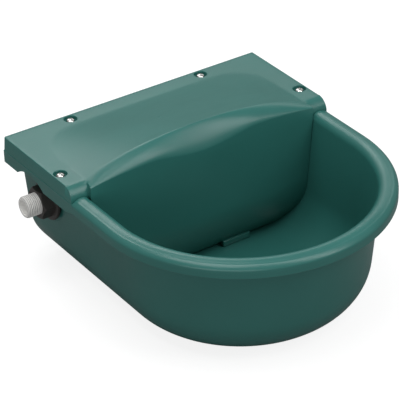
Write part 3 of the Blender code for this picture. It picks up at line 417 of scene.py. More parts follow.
def joined(pieces):
    """Several forms made one object, the first one, which is left selected."""
    bpy.ops.object.select_all(action="DESELECT")
    for piece in pieces:
        piece.select_set(True)
    bpy.context.view_layer.objects.active = pieces[0]
    if len(pieces) > 1:
        bpy.ops.object.join()
    return pieces[0]


def cut(piece, operation, forms):
    """Add forms to a piece, take them away from it, or keep only what they share."""
    shape = joined(forms)
    combine = piece.modifiers.new("combine", "BOOLEAN")
    combine.operation = operation
    combine.solver = "EXACT"
    combine.object = shape
    joined([piece])
    bpy.ops.object.modifier_apply(modifier=combine.name)
    bpy.data.objects.remove(shape)


# Under the flange are the bosses of the cover's screws. Each side wall has a flat pad with a
# round recess and the inlet's hole, under an arch in the flange, and the back wall two holes.
screw_places = [(-0.0733, 0.1702), (0.0733, 0.1702), (-0.1326, 0.0902), (0.1326, 0.0902)]
inlet_line = 0.131
inlet_level = 0.080
inlet_seat = wall_half(inlet_level) - 0.0022
inlet_hole = 0.01088
boss_outline = [(0.0048, 0.1037), (0.0057, 0.1045), (0.0057, 0.1152)]
screw_bore_outline = [(0.0022, 0.1056), (0.0022, 0.1180)]
pad_outline = [(0.0245, inlet_seat - 0.0032), (0.0245, inlet_seat)]
recess_outline = [
    (inlet_hole, 0.108), (inlet_hole, inlet_seat), (0.0222, inlet_seat), (0.0225, inlet_seat + 0.0003),
    (0.0227, inlet_seat + 0.0016), (0.0240, 0.1375),
]
arch_outline = [(0.038, 0.1355), (0.038, 0.1445)]
arch_level = 0.0737
fixing_outline = [(0.0042, 0.170), (0.0042, 0.181)]
fixing_across = 0.070
fixing_level = 0.096
drain_outline = [(0.010, -0.002), (0.010, 0.006)]
drain_place = (-0.030, 0.112, 0.0)
bosses = []
for across, along in screw_places:
    bosses.append(turned("screw_boss", boss_outline, 36, (across, along, 0.0)))
for way in ("X", "-X"):
    bosses.append(turned("inlet_pad", pad_outline, 60, (0.0, inlet_line, inlet_level), way))
cut(bowl, "UNION", bosses)
bores = []
for across, along in screw_places:
    bores.append(turned("screw_bore", screw_bore_outline, 24, (across, along, 0.0)))
for way in ("X", "-X"):
    bores.append(turned("inlet_recess", recess_outline, 72, (0.0, inlet_line, inlet_level), way))
    bores.append(turned("flange_arch", arch_outline, 72, (0.0, inlet_line, arch_level), way))
for across in (-fixing_across, fixing_across):
    bores.append(turned("fixing_hole", fixing_outline, 32, (across, 0.0, fixing_level), "Y"))
bores.append(turned("drain_hole", drain_outline, 48, drain_place))
cut(bowl, "DIFFERENCE", bores)
bpy.ops.object.shade_smooth_by_angle(angle=math.radians(32))


# Every finish has a fine uneven skin, a slight drift of colour and a few faint rub marks, all
# placed by position on the piece. Plastic, rubber and metal differ only in their numbers.
def new_group(name, inputs, outputs):
    """An empty node group with its named sockets."""
    made = bpy.data.node_groups.new(name, "ShaderNodeTree")
    for socket, kind, value in inputs:
        entry = made.interface.new_socket(socket, in_out="INPUT", socket_type="NodeSocket" + kind)
        entry.default_value = value
    for socket, kind in outputs:
        made.interface.new_socket(socket, in_out="OUTPUT", socket_type="NodeSocket" + kind)
    return made, made.nodes.new("NodeGroupInput"), made.nodes.new("NodeGroupOutput")


def wire(tree, *pairs):
    """Link each output to its input."""
    for one, other in pairs:
        tree.links.new(one, other)


skin, skin_in, skin_out = new_group(
    "moulded_skin",
    [("Scale", "Float", 900.0), ("Waves", "Float", 0.4), ("Wave Scale", "Float", 22.0)],
    [("Height", "Float")],
)
where = skin.nodes.new("ShaderNodeTexCoord")
grain = skin.nodes.new("ShaderNodeTexNoise")
grain.inputs["Detail"].default_value = 3.0
swell = skin.nodes.new("ShaderNodeTexNoise")
swell.inputs["Detail"].default_value = 1.0
swell_part = skin.nodes.new("ShaderNodeMath")
swell_part.operation = "MULTIPLY"
both = skin.nodes.new("ShaderNodeMath")
both.operation = "ADD"
wire(
    skin,
    (where.outputs["Object"], grain.inputs["Vector"]),
    (where.outputs["Object"], swell.inputs["Vector"]),
    (skin_in.outputs["Scale"], grain.inputs["Scale"]),
    (skin_in.outputs["Wave Scale"], swell.inputs["Scale"]),
    (swell.outputs["Fac"], swell_part.inputs[0]),
    (skin_in.outputs["Waves"], swell_part.inputs[1]),
    (grain.outputs["Fac"], both.inputs[0]),
    (swell_part.outputs["Value"], both.inputs[1]),
    (both.outputs["Value"], skin_out.inputs["Height"]),
)

drift, drift_in, drift_out = new_group(
    "colour_drift",
    [("Colour", "Color", (0.5, 0.5, 0.5, 1.0)), ("Drift", "Float", 0.1), ("Scale", "Float", 14.0)],
    [("Colour", "Color")],
)
where = drift.nodes.new("ShaderNodeTexCoord")
cloud = drift.nodes.new("ShaderNodeTexNoise")
cloud.inputs["Detail"].default_value = 5.0
low_side = drift.nodes.new("ShaderNodeMath")
low_side.operation = "SUBTRACT"
low_side.inputs[0].default_value = 1.0
high_side = drift.nodes.new("ShaderNodeMath")
high_side.operation = "ADD"
high_side.inputs[0].default_value = 1.0
spread = drift.nodes.new("ShaderNodeMapRange")
spread.inputs["From Min"].default_value = 0.3
spread.inputs["From Max"].default_value = 0.7
tinted = drift.nodes.new("ShaderNodeVectorMath")
tinted.operation = "SCALE"
wire(
    drift,
    (where.outputs["Object"], cloud.inputs["Vector"]),
    (drift_in.outputs["Scale"], cloud.inputs["Scale"]),
    (drift_in.outputs["Drift"], low_side.inputs[1]),
    (drift_in.outputs["Drift"], high_side.inputs[1]),
    (cloud.outputs["Fac"], spread.inputs["Value"]),
    (low_side.outputs["Value"], spread.inputs["To Min"]),
    (high_side.outputs["Value"], spread.inputs["To Max"]),
    (drift_in.outputs["Colour"], tinted.inputs[0]),
    (spread.outputs["Result"], tinted.inputs["Scale"]),
    (tinted.outputs["Vector"], drift_out.inputs["Colour"]),
)

rubs, rubs_in, rubs_out = new_group(
    "rub_marks",
    [("Smooth", "Float", 0.3), ("Rubbed", "Float", 0.4), ("Scale", "Float", 30.0)],
    [("Roughness", "Float")],
)
where = rubs.nodes.new("ShaderNodeTexCoord")
stretch = rubs.nodes.new("ShaderNodeMapping")
stretch.inputs["Scale"].default_value = (1.0, 2.4, 1.0)
patches = rubs.nodes.new("ShaderNodeTexNoise")
patches.inputs["Detail"].default_value = 6.0
patches.inputs["Roughness"].default_value = 0.65
patch_range = rubs.nodes.new("ShaderNodeMapRange")
patch_range.inputs["From Min"].default_value = 0.42
patch_range.inputs["From Max"].default_value = 0.72
wire(
    rubs,
    (where.outputs["Object"], stretch.inputs["Vector"]),
    (stretch.outputs["Vector"], patches.inputs["Vector"]),
    (rubs_in.outputs["Scale"], patches.inputs["Scale"]),
    (patches.outputs["Fac"], patch_range.inputs["Value"]),
    (rubs_in.outputs["Smooth"], patch_range.inputs["To Min"]),
    (rubs_in.outputs["Rubbed"], patch_range.inputs["To Max"]),
    (patch_range.outputs["Result"], rubs_out.inputs["Roughness"]),
)


def finish(name, colour, smooth, rubbed, bump=0.02, grain_scale=900.0, waves=0.4, colour_change=0.06,
           metallic=0.0, shine=0.5, patch=30.0):
    """A finish of one colour with its own drift, rub marks and fine skin."""
    made = bpy.data.materials.new(name)
    made.use_nodes = True
    tree = made.node_tree
    paint = tree.nodes["Principled BSDF"]
    paint.inputs["Metallic"].default_value = metallic
    paint.inputs["Specular IOR Level"].default_value = shine
    parts = {}
    for label, group in (("drift", drift), ("rubs", rubs), ("skin", skin)):
        parts[label] = tree.nodes.new("ShaderNodeGroup")
        parts[label].node_tree = group
    parts["drift"].inputs["Colour"].default_value = (*colour, 1.0)
    parts["drift"].inputs["Drift"].default_value = colour_change
    parts["rubs"].inputs["Smooth"].default_value = smooth
    parts["rubs"].inputs["Rubbed"].default_value = rubbed
    parts["rubs"].inputs["Scale"].default_value = patch
    parts["skin"].inputs["Scale"].default_value = grain_scale
    parts["skin"].inputs["Waves"].default_value = waves
    relief = tree.nodes.new("ShaderNodeBump")
    relief.inputs["Strength"].default_value = bump
    relief.inputs["Distance"].default_value = 0.001
    wire(
        tree,
        (parts["drift"].outputs["Colour"], paint.inputs["Base Color"]),
        (parts["rubs"].outputs["Roughness"], paint.inputs["Roughness"]),
        (parts["skin"].outputs["Height"], relief.inputs["Height"]),
        (relief.outputs["Normal"], paint.inputs["Normal"]),
    )
    return made


green = finish("green_plastic", (0.031, 0.157, 0.138), 0.28, 0.34, bump=0.05, grain_scale=1400.0,
               waves=1.2, colour_change=0.05, shine=0.46)
bowl.data.materials.append(green)
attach(bowl, "base")
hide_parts("bowl_body")


# The cover is a second moulding in the same plastic: a flat screwed border with turned-down
# edges, and a dome that climbs to the front, rolls over and hangs down as the apron.
cover_wall = 0.003
cover_half = 0.1402
cover_flare = 0.0011
cover_top = 0.130
skirt_end = 0.117
crest_line = 0.06975
nose_face = 0.0585
apron_face = 0.0552
apron_curl = 0.080
apron_curl_top = 0.055
apron_gap = 0.0008
apron_end = 0.006
dome_half = 0.120
dome_corner = 0.040
dome_back = 0.160
dome_height = 0.0170
dome_fullness = 2.5
border_edge = 0.008
border_bulge = 0.0012
climb_steps = 24
climb_ease = 0.04
nose_steps = 14
nose_flatness = 1.2
nose_widening = 0.0025
nose_lift = 0.002
nose_side_drop = 0.0045
scoop_share = 0.5
scoop_depth = 0.007
scoop_flatness = 0.35
hang_step = 0.0035


def dome_start(across):
    """Y of the dome's rear outline."""
    over = min(dome_corner, max(0.0, abs(across) - dome_half + dome_corner))
    return dome_back - dome_corner + math.sqrt(dome_corner ** 2 - over ** 2)


def dome_crown(across):
    """How far the dome's crest stands over the border, across the cover."""
    return dome_height * max(0.0, 1 - abs(across / dome_half) ** dome_fullness)


def dome_rise(climb):
    """The share of that height reached at a share of the way from the rear outline."""
    return climb ** 2 * (1 + climb_ease) / (climb + climb_ease)


def hanging_face(height):
    """Y of the apron's front face."""
    drop = max(0.0, apron_curl_top - height)
    return apron_face + apron_curl - math.sqrt(apron_curl ** 2 - drop ** 2)


def apron_half(height):
    """Half-width of the apron, which hangs just clear of the bowl's inner wall."""
    half = wall_half(height, bowl_wall)
    if height < base_round:
        middle = wall_half(base_round) - base_round / math.cos(bowl_draft)
        reach = base_round - bowl_wall
        half = min(half, middle + math.sqrt(reach ** 2 - (base_round - height) ** 2))
    return half - apron_gap


def shaped_grid(name, rows):
    """A grid whose points are moved to the rows of places given, from the first row on."""
    across, down = len(rows[0]) - 1, len(rows) - 1
    bpy.ops.mesh.primitive_grid_add(
        x_subdivisions=across, y_subdivisions=down, size=1.0, location=(0, 0, 0)
    )
    sheet = bpy.context.object
    sheet.name = name
    for point in sheet.data.vertices:
        column = round((point.co.x + 0.5) * across)
        row = round((point.co.y + 0.5) * down)
        point.co = rows[row][column]
    return sheet


# The columns lie 4 mm apart and closer towards the dome's round corners, and the border has
# its own. The rows run from the back edge over the dome and the nose to the apron's foot.
inner_columns = [0.004 * number for number in range(20)]
corner_columns = 8
for number in range(corner_columns + 1):
    over = 0.5 * math.sin(math.pi / 2 * number / corner_columns) + 0.5 * number / corner_columns
    inner_columns.append(dome_half - dome_corner + dome_corner * over)
border_columns = [0.1215, 0.125, 0.130, 0.1355, cover_half]
dome_columns = [-x for x in inner_columns[:0:-1]] + inner_columns
all_columns = [-x for x in border_columns[::-1]] + dome_columns + border_columns

top_rows = []
for setback in (0.0, border_edge / 2, border_edge):
    top_rows.append([(x, bowl_back - setback, cover_top) for x in all_columns])
for share in (0.2, 0.45, 0.7, 0.92, 1.0):
    row = []
    for x in all_columns:
        start = dome_start(x)
        row.append((x, bowl_back - border_edge - share * (bowl_back - border_edge - start), cover_top))
    top_rows.append(row)
for climb in [step / climb_steps for step in range(1, climb_steps)] + [0.985, 1.0]:
    row = []
    for x in all_columns:
        start = dome_start(x)
        height = cover_top + dome_crown(x) * dome_rise(climb)
        row.append((x, start + (crest_line - start) * climb, height))
    top_rows.append(row)

# Round the nose the border turns down in a plain quarter round, bulging a little, while the
# dome rolls over into the apron with a shallow scoop in its middle.
for step in range(1, nose_steps + 2):
    turn = math.pi / 2 * min(step / nose_steps, 1.0)
    row = []
    for x in all_columns:
        side = math.copysign(1.0, x)
        share = min(abs(x) / dome_half, 1.0)
        if abs(x) > dome_half:
            inside = (cover_half - abs(x)) / (cover_half - border_columns[0])
            push = border_bulge * math.sin(turn) ** 2 * inside
            y = crest_line - (crest_line - nose_face) * math.sin(turn)
            z = cover_top - (crest_line - nose_face) * (1 - math.cos(turn))
            z = z if step <= nose_steps else skirt_end
            if abs(x) == cover_half:
                push = cover_flare * (cover_top - z) / (cover_top - skirt_end)
            row.append((x + side * push, y, z))
            continue
        half = dome_half + nose_widening * math.sin(turn) ** 2
        scoop = (1 - min(1.0, share / scoop_share) ** 2) ** 2
        low = cover_top + nose_lift - nose_side_drop * share ** 4 - scoop_depth * scoop
        high = cover_top + dome_height * (1 - share ** dome_fullness)
        flatness = nose_flatness + scoop_flatness * scoop
        y = crest_line + (apron_face - crest_line) * math.sin(turn) ** flatness
        z = low + (high - low) * max(0.0, math.cos(turn)) ** flatness
        row.append((side * share * half, y, z if step <= nose_steps else skirt_end))
    top_rows.append(row)
hang = [0.105, 0.090, 0.075, 0.065, 0.059, 0.055]
while hang[-1] > apron_end + 0.001:
    hang.append(max(apron_end, hang[-1] - hang_step))
for height in hang:
    half = apron_half(height)
    top_rows.append([(x / dome_half * half, hanging_face(height), height) for x in all_columns])
cover = shaped_grid("moulded_cover", top_rows)

# Beside the apron the sheet is cut away. Then the sides and the back turn down as slightly
# flared skirts, and the front end of each side skirt is closed.
bpy.ops.object.mode_set(mode="EDIT")
bpy.ops.mesh.select_mode(type="VERT")
choose(cover.data, all_points(cover.data), lambda place: (
    place.z < skirt_end - 0.0005 and abs(place.x) > apron_half(place.z) + 0.0002
))
bpy.ops.mesh.delete(type="VERT")
choose_edges(cover.data, lambda one, other: (
    min(abs(one.x), abs(other.x)) > cover_half - near and one.x * other.x > 0
    and min(one.y, other.y) > crest_line - near
    or min(one.y, other.y) > bowl_back - near
))
bpy.ops.mesh.extrude_edges_move()
bpy.ops.transform.resize(value=(1, 1, 0), center_override=(0, 0, skirt_end))
bpy.ops.transform.resize(value=(1 + cover_flare / cover_half, 1, 1), center_override=(0, 0, 0))
bpy.ops.mesh.select_mode(type="VERT")
for side in (-1, 1):
    choose(cover.data, all_points(cover.data), lambda place: (
        place.x * side > cover_half - near and place.y < crest_line + near
    ))
    bpy.ops.mesh.edge_face_add()
bpy.ops.mesh.select_all(action="SELECT")
bpy.ops.mesh.remove_doubles(threshold=near)
bpy.ops.mesh.normals_make_consistent(inside=False)
bpy.ops.object.mode_set(mode="OBJECT")

# The wall is thinner inside the tight curves of the nose, so that it never crosses itself.
thick = cover.modifiers.new("thickness", "SOLIDIFY")
thick.thickness = cover_wall
thick.offset = -1.0
thick.use_even_offset = True
thick.use_quality_normals = True
thick.thickness_clamp = 1.0
bpy.ops.object.modifier_apply(modifier=thick.name)

# The skirts' upright corners are rounded, and then the border's edge over them.
skirt_round = 0.0015
edge_round = 0.0008
rounded_side = cover_half - 0.0017
rounded_back = bowl_back - 0.0016
bpy.ops.object.mode_set(mode="EDIT")
choose_edges(cover.data, lambda one, other: (
    min(one.y, other.y) > bowl_back - near and abs(one.z - other.z) > 0.005
    and min(abs(one.x), abs(other.x)) > cover_half - near
))
bpy.ops.mesh.bevel(offset=skirt_round, segments=4)
choose_edges(cover.data, lambda one, other: (
    min(one.z, other.z) > cover_top - near
    and (
        min(abs(one.x), abs(other.x)) > rounded_side and one.x * other.x > 0
        and (abs(one.x - other.x) < near or min(one.y, other.y) > rounded_back)
        and min(one.y, other.y) > crest_line - near
        or min(one.y, other.y) > bowl_back - near
    )
))
bpy.ops.mesh.bevel(offset=edge_round, segments=3)
bpy.ops.object.mode_set(mode="OBJECT")

# A small lug in front of the apron's foot ends just above the bowl's floor. Each screw has a
# post under the border, with a round sink for its head and a hole for its shank.
lug_size = (0.0305, 0.0052, 0.0059)
lug_across = 0.0415
lug_top = 0.0094
lug_middle = 0.00645
lug_front = hanging_face(lug_top) - 0.0028
bpy.ops.object.select_all(action="DESELECT")
bpy.ops.mesh.primitive_cube_add(size=1.0, location=(0, 0, 0))
lug = bpy.context.object
bpy.ops.object.mode_set(mode="EDIT")
bpy.ops.mesh.select_all(action="SELECT")
bpy.ops.transform.resize(value=lug_size)
bpy.ops.transform.translate(value=(lug_across, lug_front + lug_size[1] / 2, lug_middle))
bpy.ops.mesh.bevel(offset=0.0005, segments=3)
bpy.ops.object.mode_set(mode="OBJECT")
post_outline = [(0.007, skirt_end), (0.007, 0.1283)]
sink_outline = [
    (0.0028, 0.115), (0.0028, 0.1266), (0.0061, 0.1266), (0.0063, 0.1268), (0.0063, 0.1294),
    (0.0067, cover_top), (0.0067, 0.132),
]
posts = [lug]
sinks = []
for across, along in screw_places:
    posts.append(turned("screw_post", post_outline, 40, (across, along, 0.0)))
    sinks.append(turned("screw_sink", sink_outline, 40, (across, along, 0.0)))
cut(cover, "UNION", posts)
cut(cover, "DIFFERENCE", sinks)
bpy.ops.object.mode_set(mode="EDIT")
bpy.ops.mesh.select_all(action="SELECT")
bpy.ops.mesh.remove_doubles(threshold=2 * near)
bpy.ops.mesh.dissolve_degenerate(threshold=near)
bpy.ops.mesh.delete_loose()
bpy.ops.object.mode_set(mode="OBJECT")
bpy.ops.object.shade_smooth_by_angle(angle=math.radians(32))

# The mark of the mould's gate is a small round button that lies in the dome's slope.
gate_across, gate_along = -0.0123, 0.1113
gate_start = dome_start(gate_across)
gate_climb = (gate_start - gate_along) / (gate_start - crest_line)
gate_height = cover_top + dome_crown(gate_across) * dome_rise(gate_climb)
gate_tilt = -math.atan(dome_crown(gate_across) / (gate_start - crest_line))
gate_outline = [
    (0.0, 0.0004), (0.0008, 0.0004), (0.0009, 0.00025), (0.0022, 0.00022), (0.0025, 0.0001),
    (0.0025, -0.0006), (0.0, -0.0006),
]
gate = turned("gate_mark", gate_outline, 32)
gate.data.transform(
    Matrix.Translation((gate_across, gate_along, gate_height)) @ Matrix.Rotation(gate_tilt, 4, "X")
)
joined([cover, gate])
cover.data.materials.append(green)
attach(cover, "base")
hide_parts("cover")


# Four zinc-plated pan-head screws hold the cover down. Each has a low domed head with a cross
# recess, and goes through a post under the cover into a boss under the bowl's flange.
screw_outline = [
    (0.0, 0.0030), (0.0009, 0.00297), (0.0020, 0.0028), (0.0030, 0.0024), (0.0037, 0.0018),
    (0.0041, 0.0012), (0.0043, 0.0006), (0.0043, 0.0002), (0.0041, 0.0), (0.0025, 0.0),
    (0.0025, -0.0172), (0.0, -0.0200),
]
screw = turned("screw", screw_outline, 48)
blade_size = (0.0042, 0.0009, 0.0022)
blade_taper = (0.45, 0.6)
blade_middle = 0.0025
for turn in (0.0, math.pi / 2):
    bpy.ops.object.select_all(action="DESELECT")
    bpy.ops.mesh.primitive_cube_add(size=1.0, location=(0, 0, 0))
    blade = bpy.context.object
    bpy.ops.object.mode_set(mode="EDIT")
    bpy.ops.mesh.select_all(action="SELECT")
    bpy.ops.transform.resize(value=blade_size)
    bpy.ops.object.mode_set(mode="OBJECT")
    for corner in blade.data.vertices:
        if corner.co.z < 0:
            corner.co.x *= blade_taper[0]
            corner.co.y *= blade_taper[1]
    blade.data.transform(Matrix.Rotation(turn, 4, "Z") @ Matrix.Translation((0, 0, blade_middle)))
    cut(screw, "DIFFERENCE", [blade])
bpy.ops.object.shade_smooth_by_angle(angle=math.radians(35))
zinc = finish("zinc_plate", (0.66, 0.66, 0.64), 0.16, 0.28, bump=0.01, grain_scale=1800.0, waves=0.5,
              colour_change=0.08, metallic=1.0, patch=300.0)
screw.data.materials.append(zinc)
screw_nodes = [
    "cover_screw_rear_left", "cover_screw_rear_right",
    "cover_screw_front_left", "cover_screw_front_right",
]
screw_turns = [0.5, -0.3, 0.25, 0.9]
head_level = 0.1269
for node, (across, along), turn in zip(screw_nodes, screw_places, screw_turns):
    fixed = screw.copy()
    fixed.data = screw.data.copy()
    fixed.name = node.replace("cover_", "pan_")
    bpy.context.collection.objects.link(fixed)
    fixed.data.transform(Matrix.Translation((across, along, head_level)) @ Matrix.Rotation(turn, 4, "Z"))
    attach(fixed, "base")
    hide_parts(node)
bpy.data.objects.remove(screw)


# The valve's white nylon body comes through the left wall as a half-inch pipe thread with an
# open bore, and inside it carries a hexagonal collar and the ears of the float's lever.
thread_crest = 0.01048
thread_depth = 0.00116
thread_pitch = 0.001814
thread_rows = 90
lead_in_round = 0.00935
lead_in_slope = 0.8
stub_face = 0.1503
stub_root = 0.1372
stub_length = stub_face - stub_root
stub_bore = 0.0075
stub_steps = 72
bore_rows = 8
around = [2 * math.pi * number / stub_steps for number in range(stub_steps + 1)]


def stub_ring(x, radii):
    """One ring of the stub round the inlet's line, with a radius for each step."""
    return [
        (x, inlet_line + radius * math.cos(turn), inlet_level + radius * math.sin(turn))
        for turn, radius in zip(around, radii)
    ]


stub_rings = []
for number in range(bore_rows + 1):
    reach = stub_root + stub_length * number / bore_rows
    stub_rings.append(stub_ring(-reach, [stub_bore] * len(around)))
for over in (0.0004, 0.0015):
    stub_rings.append(stub_ring(-stub_face, [stub_bore + over] * len(around)))
for number in range(thread_rows):
    back = stub_length * number / (thread_rows - 1)
    radii = []
    for turn in around:
        wave = 0.5 - 0.5 * math.cos(2 * math.pi * (back / thread_pitch + turn / (2 * math.pi)))
        radii.append(min(thread_crest - thread_depth * wave, lead_in_round + back * lead_in_slope))
    stub_rings.append(stub_ring(-stub_face + back, radii))
stub_rings.append(stub_rings[0])
stub = shaped_grid("valve_stub", stub_rings)
bpy.ops.object.mode_set(mode="EDIT")
bpy.ops.mesh.select_all(action="SELECT")
bpy.ops.mesh.remove_doubles(threshold=same_point)
bpy.ops.object.mode_set(mode="OBJECT")

# The rest of the body keeps its packed form, cut off where the stub begins. Object mode in
# between settles the merged corners' shading before the cut.
inner_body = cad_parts["valve_body"].copy()
inner_body.data = inner_body.data.copy()
inner_body.name = "inner_body"
inner_body.parent = None
inner_body.matrix_world = Matrix()
inner_body.data.materials.clear()
bpy.context.collection.objects.link(inner_body)
joined([inner_body])
bpy.ops.object.mode_set(mode="EDIT")
bpy.ops.mesh.select_all(action="SELECT")
bpy.ops.mesh.remove_doubles(threshold=same_point)
bpy.ops.object.mode_set(mode="OBJECT")
bpy.ops.object.mode_set(mode="EDIT")
bpy.ops.mesh.select_all(action="SELECT")
bpy.ops.mesh.bisect(plane_co=(-stub_root, 0, 0), plane_no=(-1, 0, 0), clear_outer=True, use_fill=True)
bpy.ops.object.mode_set(mode="OBJECT")
valve = joined([stub, inner_body])
valve.name = "threaded_valve_body"
bpy.ops.object.mode_set(mode="EDIT")
bpy.ops.mesh.select_all(action="SELECT")
bpy.ops.mesh.normals_make_consistent(inside=False)
bpy.ops.object.mode_set(mode="OBJECT")
bpy.ops.object.shade_smooth_by_angle(angle=math.radians(40))
nylon = finish("white_nylon", (0.93, 0.925, 0.90), 0.36, 0.46, bump=0.012, grain_scale=1500.0, waves=1.5,
               colour_change=0.02, patch=90.0)

# The thread's grooves are painted darker than its crests, as painted shade in the grooves. The mask goes
# by the distance from the inlet's line, and is off inside the bore.
groove_margin = 0.0001
groove_shade, groove_shade_in, groove_shade_out = new_group(
    "painted_thread_shade",
    [("Centre", "Vector", (0.0, 0.0, 0.0)), ("Root", "Float", 0.0093), ("Crest", "Float", 0.0102),
     ("Darkest", "Float", 0.5)],
    [("Value", "Float")],
)
where = groove_shade.nodes.new("ShaderNodeTexCoord")
offset = groove_shade.nodes.new("ShaderNodeVectorMath")
offset.operation = "SUBTRACT"
flat = groove_shade.nodes.new("ShaderNodeVectorMath")
flat.operation = "MULTIPLY"
flat.inputs[1].default_value = (0.0, 1.0, 1.0)
radius_here = groove_shade.nodes.new("ShaderNodeVectorMath")
radius_here.operation = "LENGTH"
groove = groove_shade.nodes.new("ShaderNodeMapRange")
groove.inputs["To Max"].default_value = 1.0
inside = groove_shade.nodes.new("ShaderNodeMath")
inside.operation = "LESS_THAN"
lit_level = groove_shade.nodes.new("ShaderNodeMath")
lit_level.operation = "MAXIMUM"
root_here = groove_shade.nodes.new("ShaderNodeMath")
root_here.operation = "SUBTRACT"
root_here.inputs[1].default_value = groove_margin
wire(
    groove_shade,
    (where.outputs["Object"], offset.inputs[0]),
    (groove_shade_in.outputs["Centre"], offset.inputs[1]),
    (offset.outputs["Vector"], flat.inputs[0]),
    (flat.outputs["Vector"], radius_here.inputs[0]),
    (radius_here.outputs["Value"], groove.inputs["Value"]),
    (groove_shade_in.outputs["Root"], groove.inputs["From Min"]),
    (groove_shade_in.outputs["Crest"], groove.inputs["From Max"]),
    (groove_shade_in.outputs["Darkest"], groove.inputs["To Min"]),
    (groove_shade_in.outputs["Root"], root_here.inputs[0]),
    (radius_here.outputs["Value"], inside.inputs[0]),
    (root_here.outputs["Value"], inside.inputs[1]),
    (groove.outputs["Result"], lit_level.inputs[0]),
    (inside.outputs["Value"], lit_level.inputs[1]),
    (lit_level.outputs["Value"], groove_shade_out.inputs["Value"]),
)

thread_white = nylon.copy()
thread_white.name = "threaded_nylon"
thread_tree = thread_white.node_tree
# Painted shade: the nylon's colour is scaled down from the thread's crests to its roots.
thread_mask = thread_tree.nodes.new("ShaderNodeGroup")
thread_mask.node_tree = groove_shade
thread_mask.inputs["Centre"].default_value = (0.0, inlet_line, inlet_level)
shaded = thread_tree.nodes.new("ShaderNodeVectorMath")
shaded.operation = "SCALE"
thread_paint = thread_tree.nodes["Principled BSDF"]
wire(
    thread_tree,
    (thread_paint.inputs["Base Color"].links[0].from_socket, shaded.inputs[0]),
    (thread_mask.outputs["Value"], shaded.inputs["Scale"]),
    (shaded.outputs["Vector"], thread_paint.inputs["Base Color"]),
)
valve.data.materials.clear()
valve.data.materials.append(thread_white)
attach(valve, "base")
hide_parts("valve_body")


# A moulded black lock nut, a hexagon on a round flange, clamps the valve to the wall over a
# rubber gasket in the round recess.
nut_low = inlet_seat + 0.0026
hexagon_half = 0.014
hexagon_height = 0.0129
slip_hole = 0.01078
flange_outline = [
    (0.0, nut_low), (0.0196, nut_low), (0.020, nut_low + 0.0005), (0.020, nut_low + 0.0021),
    (0.0197, nut_low + 0.0027), (0.0191, nut_low + 0.003), (0.0, nut_low + 0.003),
]
cone_outline = [
    (0.0, nut_low - 0.001), (0.024, nut_low - 0.001), (0.024, nut_low + 0.005),
    (0.0141, nut_low + 0.0139), (0.0, nut_low + 0.0139),
]
nut_bore_outline = [
    (0.0, nut_low - 0.002), (slip_hole, nut_low - 0.002), (slip_hole, nut_low + 0.0131),
    (0.0118, nut_low + 0.0141), (0.0118, nut_low + 0.016), (0.0, nut_low + 0.016),
]
nut = turned("lock_nut", flange_outline, 96)
bpy.ops.object.select_all(action="DESELECT")
bpy.ops.mesh.primitive_cylinder_add(
    vertices=6, radius=hexagon_half / math.cos(math.pi / 6), depth=hexagon_height, location=(0, 0, 0)
)
hexagon = bpy.context.object
hexagon.data.transform(Matrix.Translation((0, 0, nut_low + 0.001 + hexagon_height / 2)))
bpy.ops.object.mode_set(mode="EDIT")
choose_edges(hexagon.data, lambda one, other: abs(one.z - other.z) > 0.005)
bpy.ops.mesh.bevel(offset=0.0006, segments=3)
bpy.ops.object.mode_set(mode="OBJECT")
cut(hexagon, "INTERSECT", [turned("nut_cone", cone_outline, 96)])
cut(nut, "UNION", [hexagon])
cut(nut, "DIFFERENCE", [turned("nut_bore", nut_bore_outline, 72)])
to_the_left = Matrix.Rotation(-math.pi / 2, 4, "Y")
nut.data.transform(Matrix.Translation((0, inlet_line, inlet_level)) @ to_the_left)
joined([nut])
bpy.ops.object.shade_smooth_by_angle(angle=math.radians(30))
nut_black = finish("brown_black_nylon", (0.040, 0.036, 0.033), 0.40, 0.52, bump=0.03, grain_scale=1400.0,
                   waves=0.6, colour_change=0.15, patch=80.0)
nut.data.materials.append(nut_black)
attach(nut, "base")
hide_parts("inlet_lock_nut")


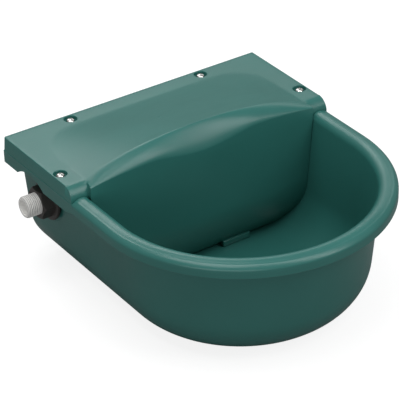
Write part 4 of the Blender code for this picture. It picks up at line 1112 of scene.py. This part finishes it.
# A ring of black sheet rubber with slightly rounded edges lies in the recess on each side,
# under the lock nut on the left and under the blanking plug on the right.
rubber = finish("black_rubber", (0.022, 0.022, 0.022), 0.62, 0.78, bump=0.12, grain_scale=1100.0,
                waves=0.8, colour_change=0.2, shine=0.35, patch=60.0)
ring_round = 0.018
ring_edge = 0.0004
ring_low = inlet_seat + 0.0003
ring_high = ring_low + 0.002
ring_outline = [
    (slip_hole, ring_low), (ring_round - ring_edge, ring_low), (ring_round, ring_low + ring_edge),
    (ring_round, ring_high - ring_edge), (ring_round - ring_edge, ring_high), (slip_hole, ring_high),
    (slip_hole, ring_low),
]
rings = [
    ("outer_gasket_ring", "outer_gasket", "-X"),
    ("blanking_gasket_ring", "blanking_gasket", "X"),
]
for name, node, side in rings:
    gasket = turned(name, ring_outline, 96, (0.0, inlet_line, inlet_level), side)
    bpy.ops.object.shade_smooth_by_angle(angle=math.radians(40))
    gasket.data.materials.append(rubber)
    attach(gasket, "base")
    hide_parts(node)


# The pieces that only the opened bowl shows keep their packed forms, with their own finishes:
# turned brass, ground steel, grey and white mouldings, foamed float and black rubber.
brass = finish("turned_brass", (0.62, 0.44, 0.17), 0.22, 0.36, bump=0.05, grain_scale=2600.0, waves=0.1,
               colour_change=0.08, metallic=1.0, patch=240.0)
steel = finish("ground_steel", (0.60, 0.60, 0.59), 0.20, 0.34, bump=0.04, grain_scale=3200.0, waves=0.1,
               colour_change=0.06, metallic=1.0, patch=260.0)
grey = finish("grey_moulding", (0.42, 0.43, 0.43), 0.40, 0.52, bump=0.06, grain_scale=1500.0, waves=0.8,
              colour_change=0.04, patch=60.0)
foam = finish("foamed_float", (0.80, 0.80, 0.79), 0.62, 0.78, bump=0.5, grain_scale=420.0, waves=0.5,
              colour_change=0.04, shine=0.3, patch=50.0)
plug_black = finish("black_moulding", (0.020, 0.020, 0.020), 0.38, 0.50, bump=0.06, grain_scale=1500.0,
                    waves=0.8, colour_change=0.15, patch=70.0)
kept = {
    "inner_gasket": rubber, "plunger_seal": rubber, "drain_plug": rubber, "inlet_strainer": nylon,
    "valve_plunger": nylon, "nozzle_seat": brass, "adjusting_screw": brass, "adjusting_lock_nut": brass,
    "float_nut": brass, "pivot_pin": steel, "pin_clip": steel, "float_arm": grey, "float": foam,
    "blanking_plug": plug_black, "blanking_nut": plug_black,
}
for node, look in kept.items():
    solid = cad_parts[node]
    if not solid.material_slots:
        solid.data.materials.append(look)
    for place in solid.material_slots:
        place.material = look
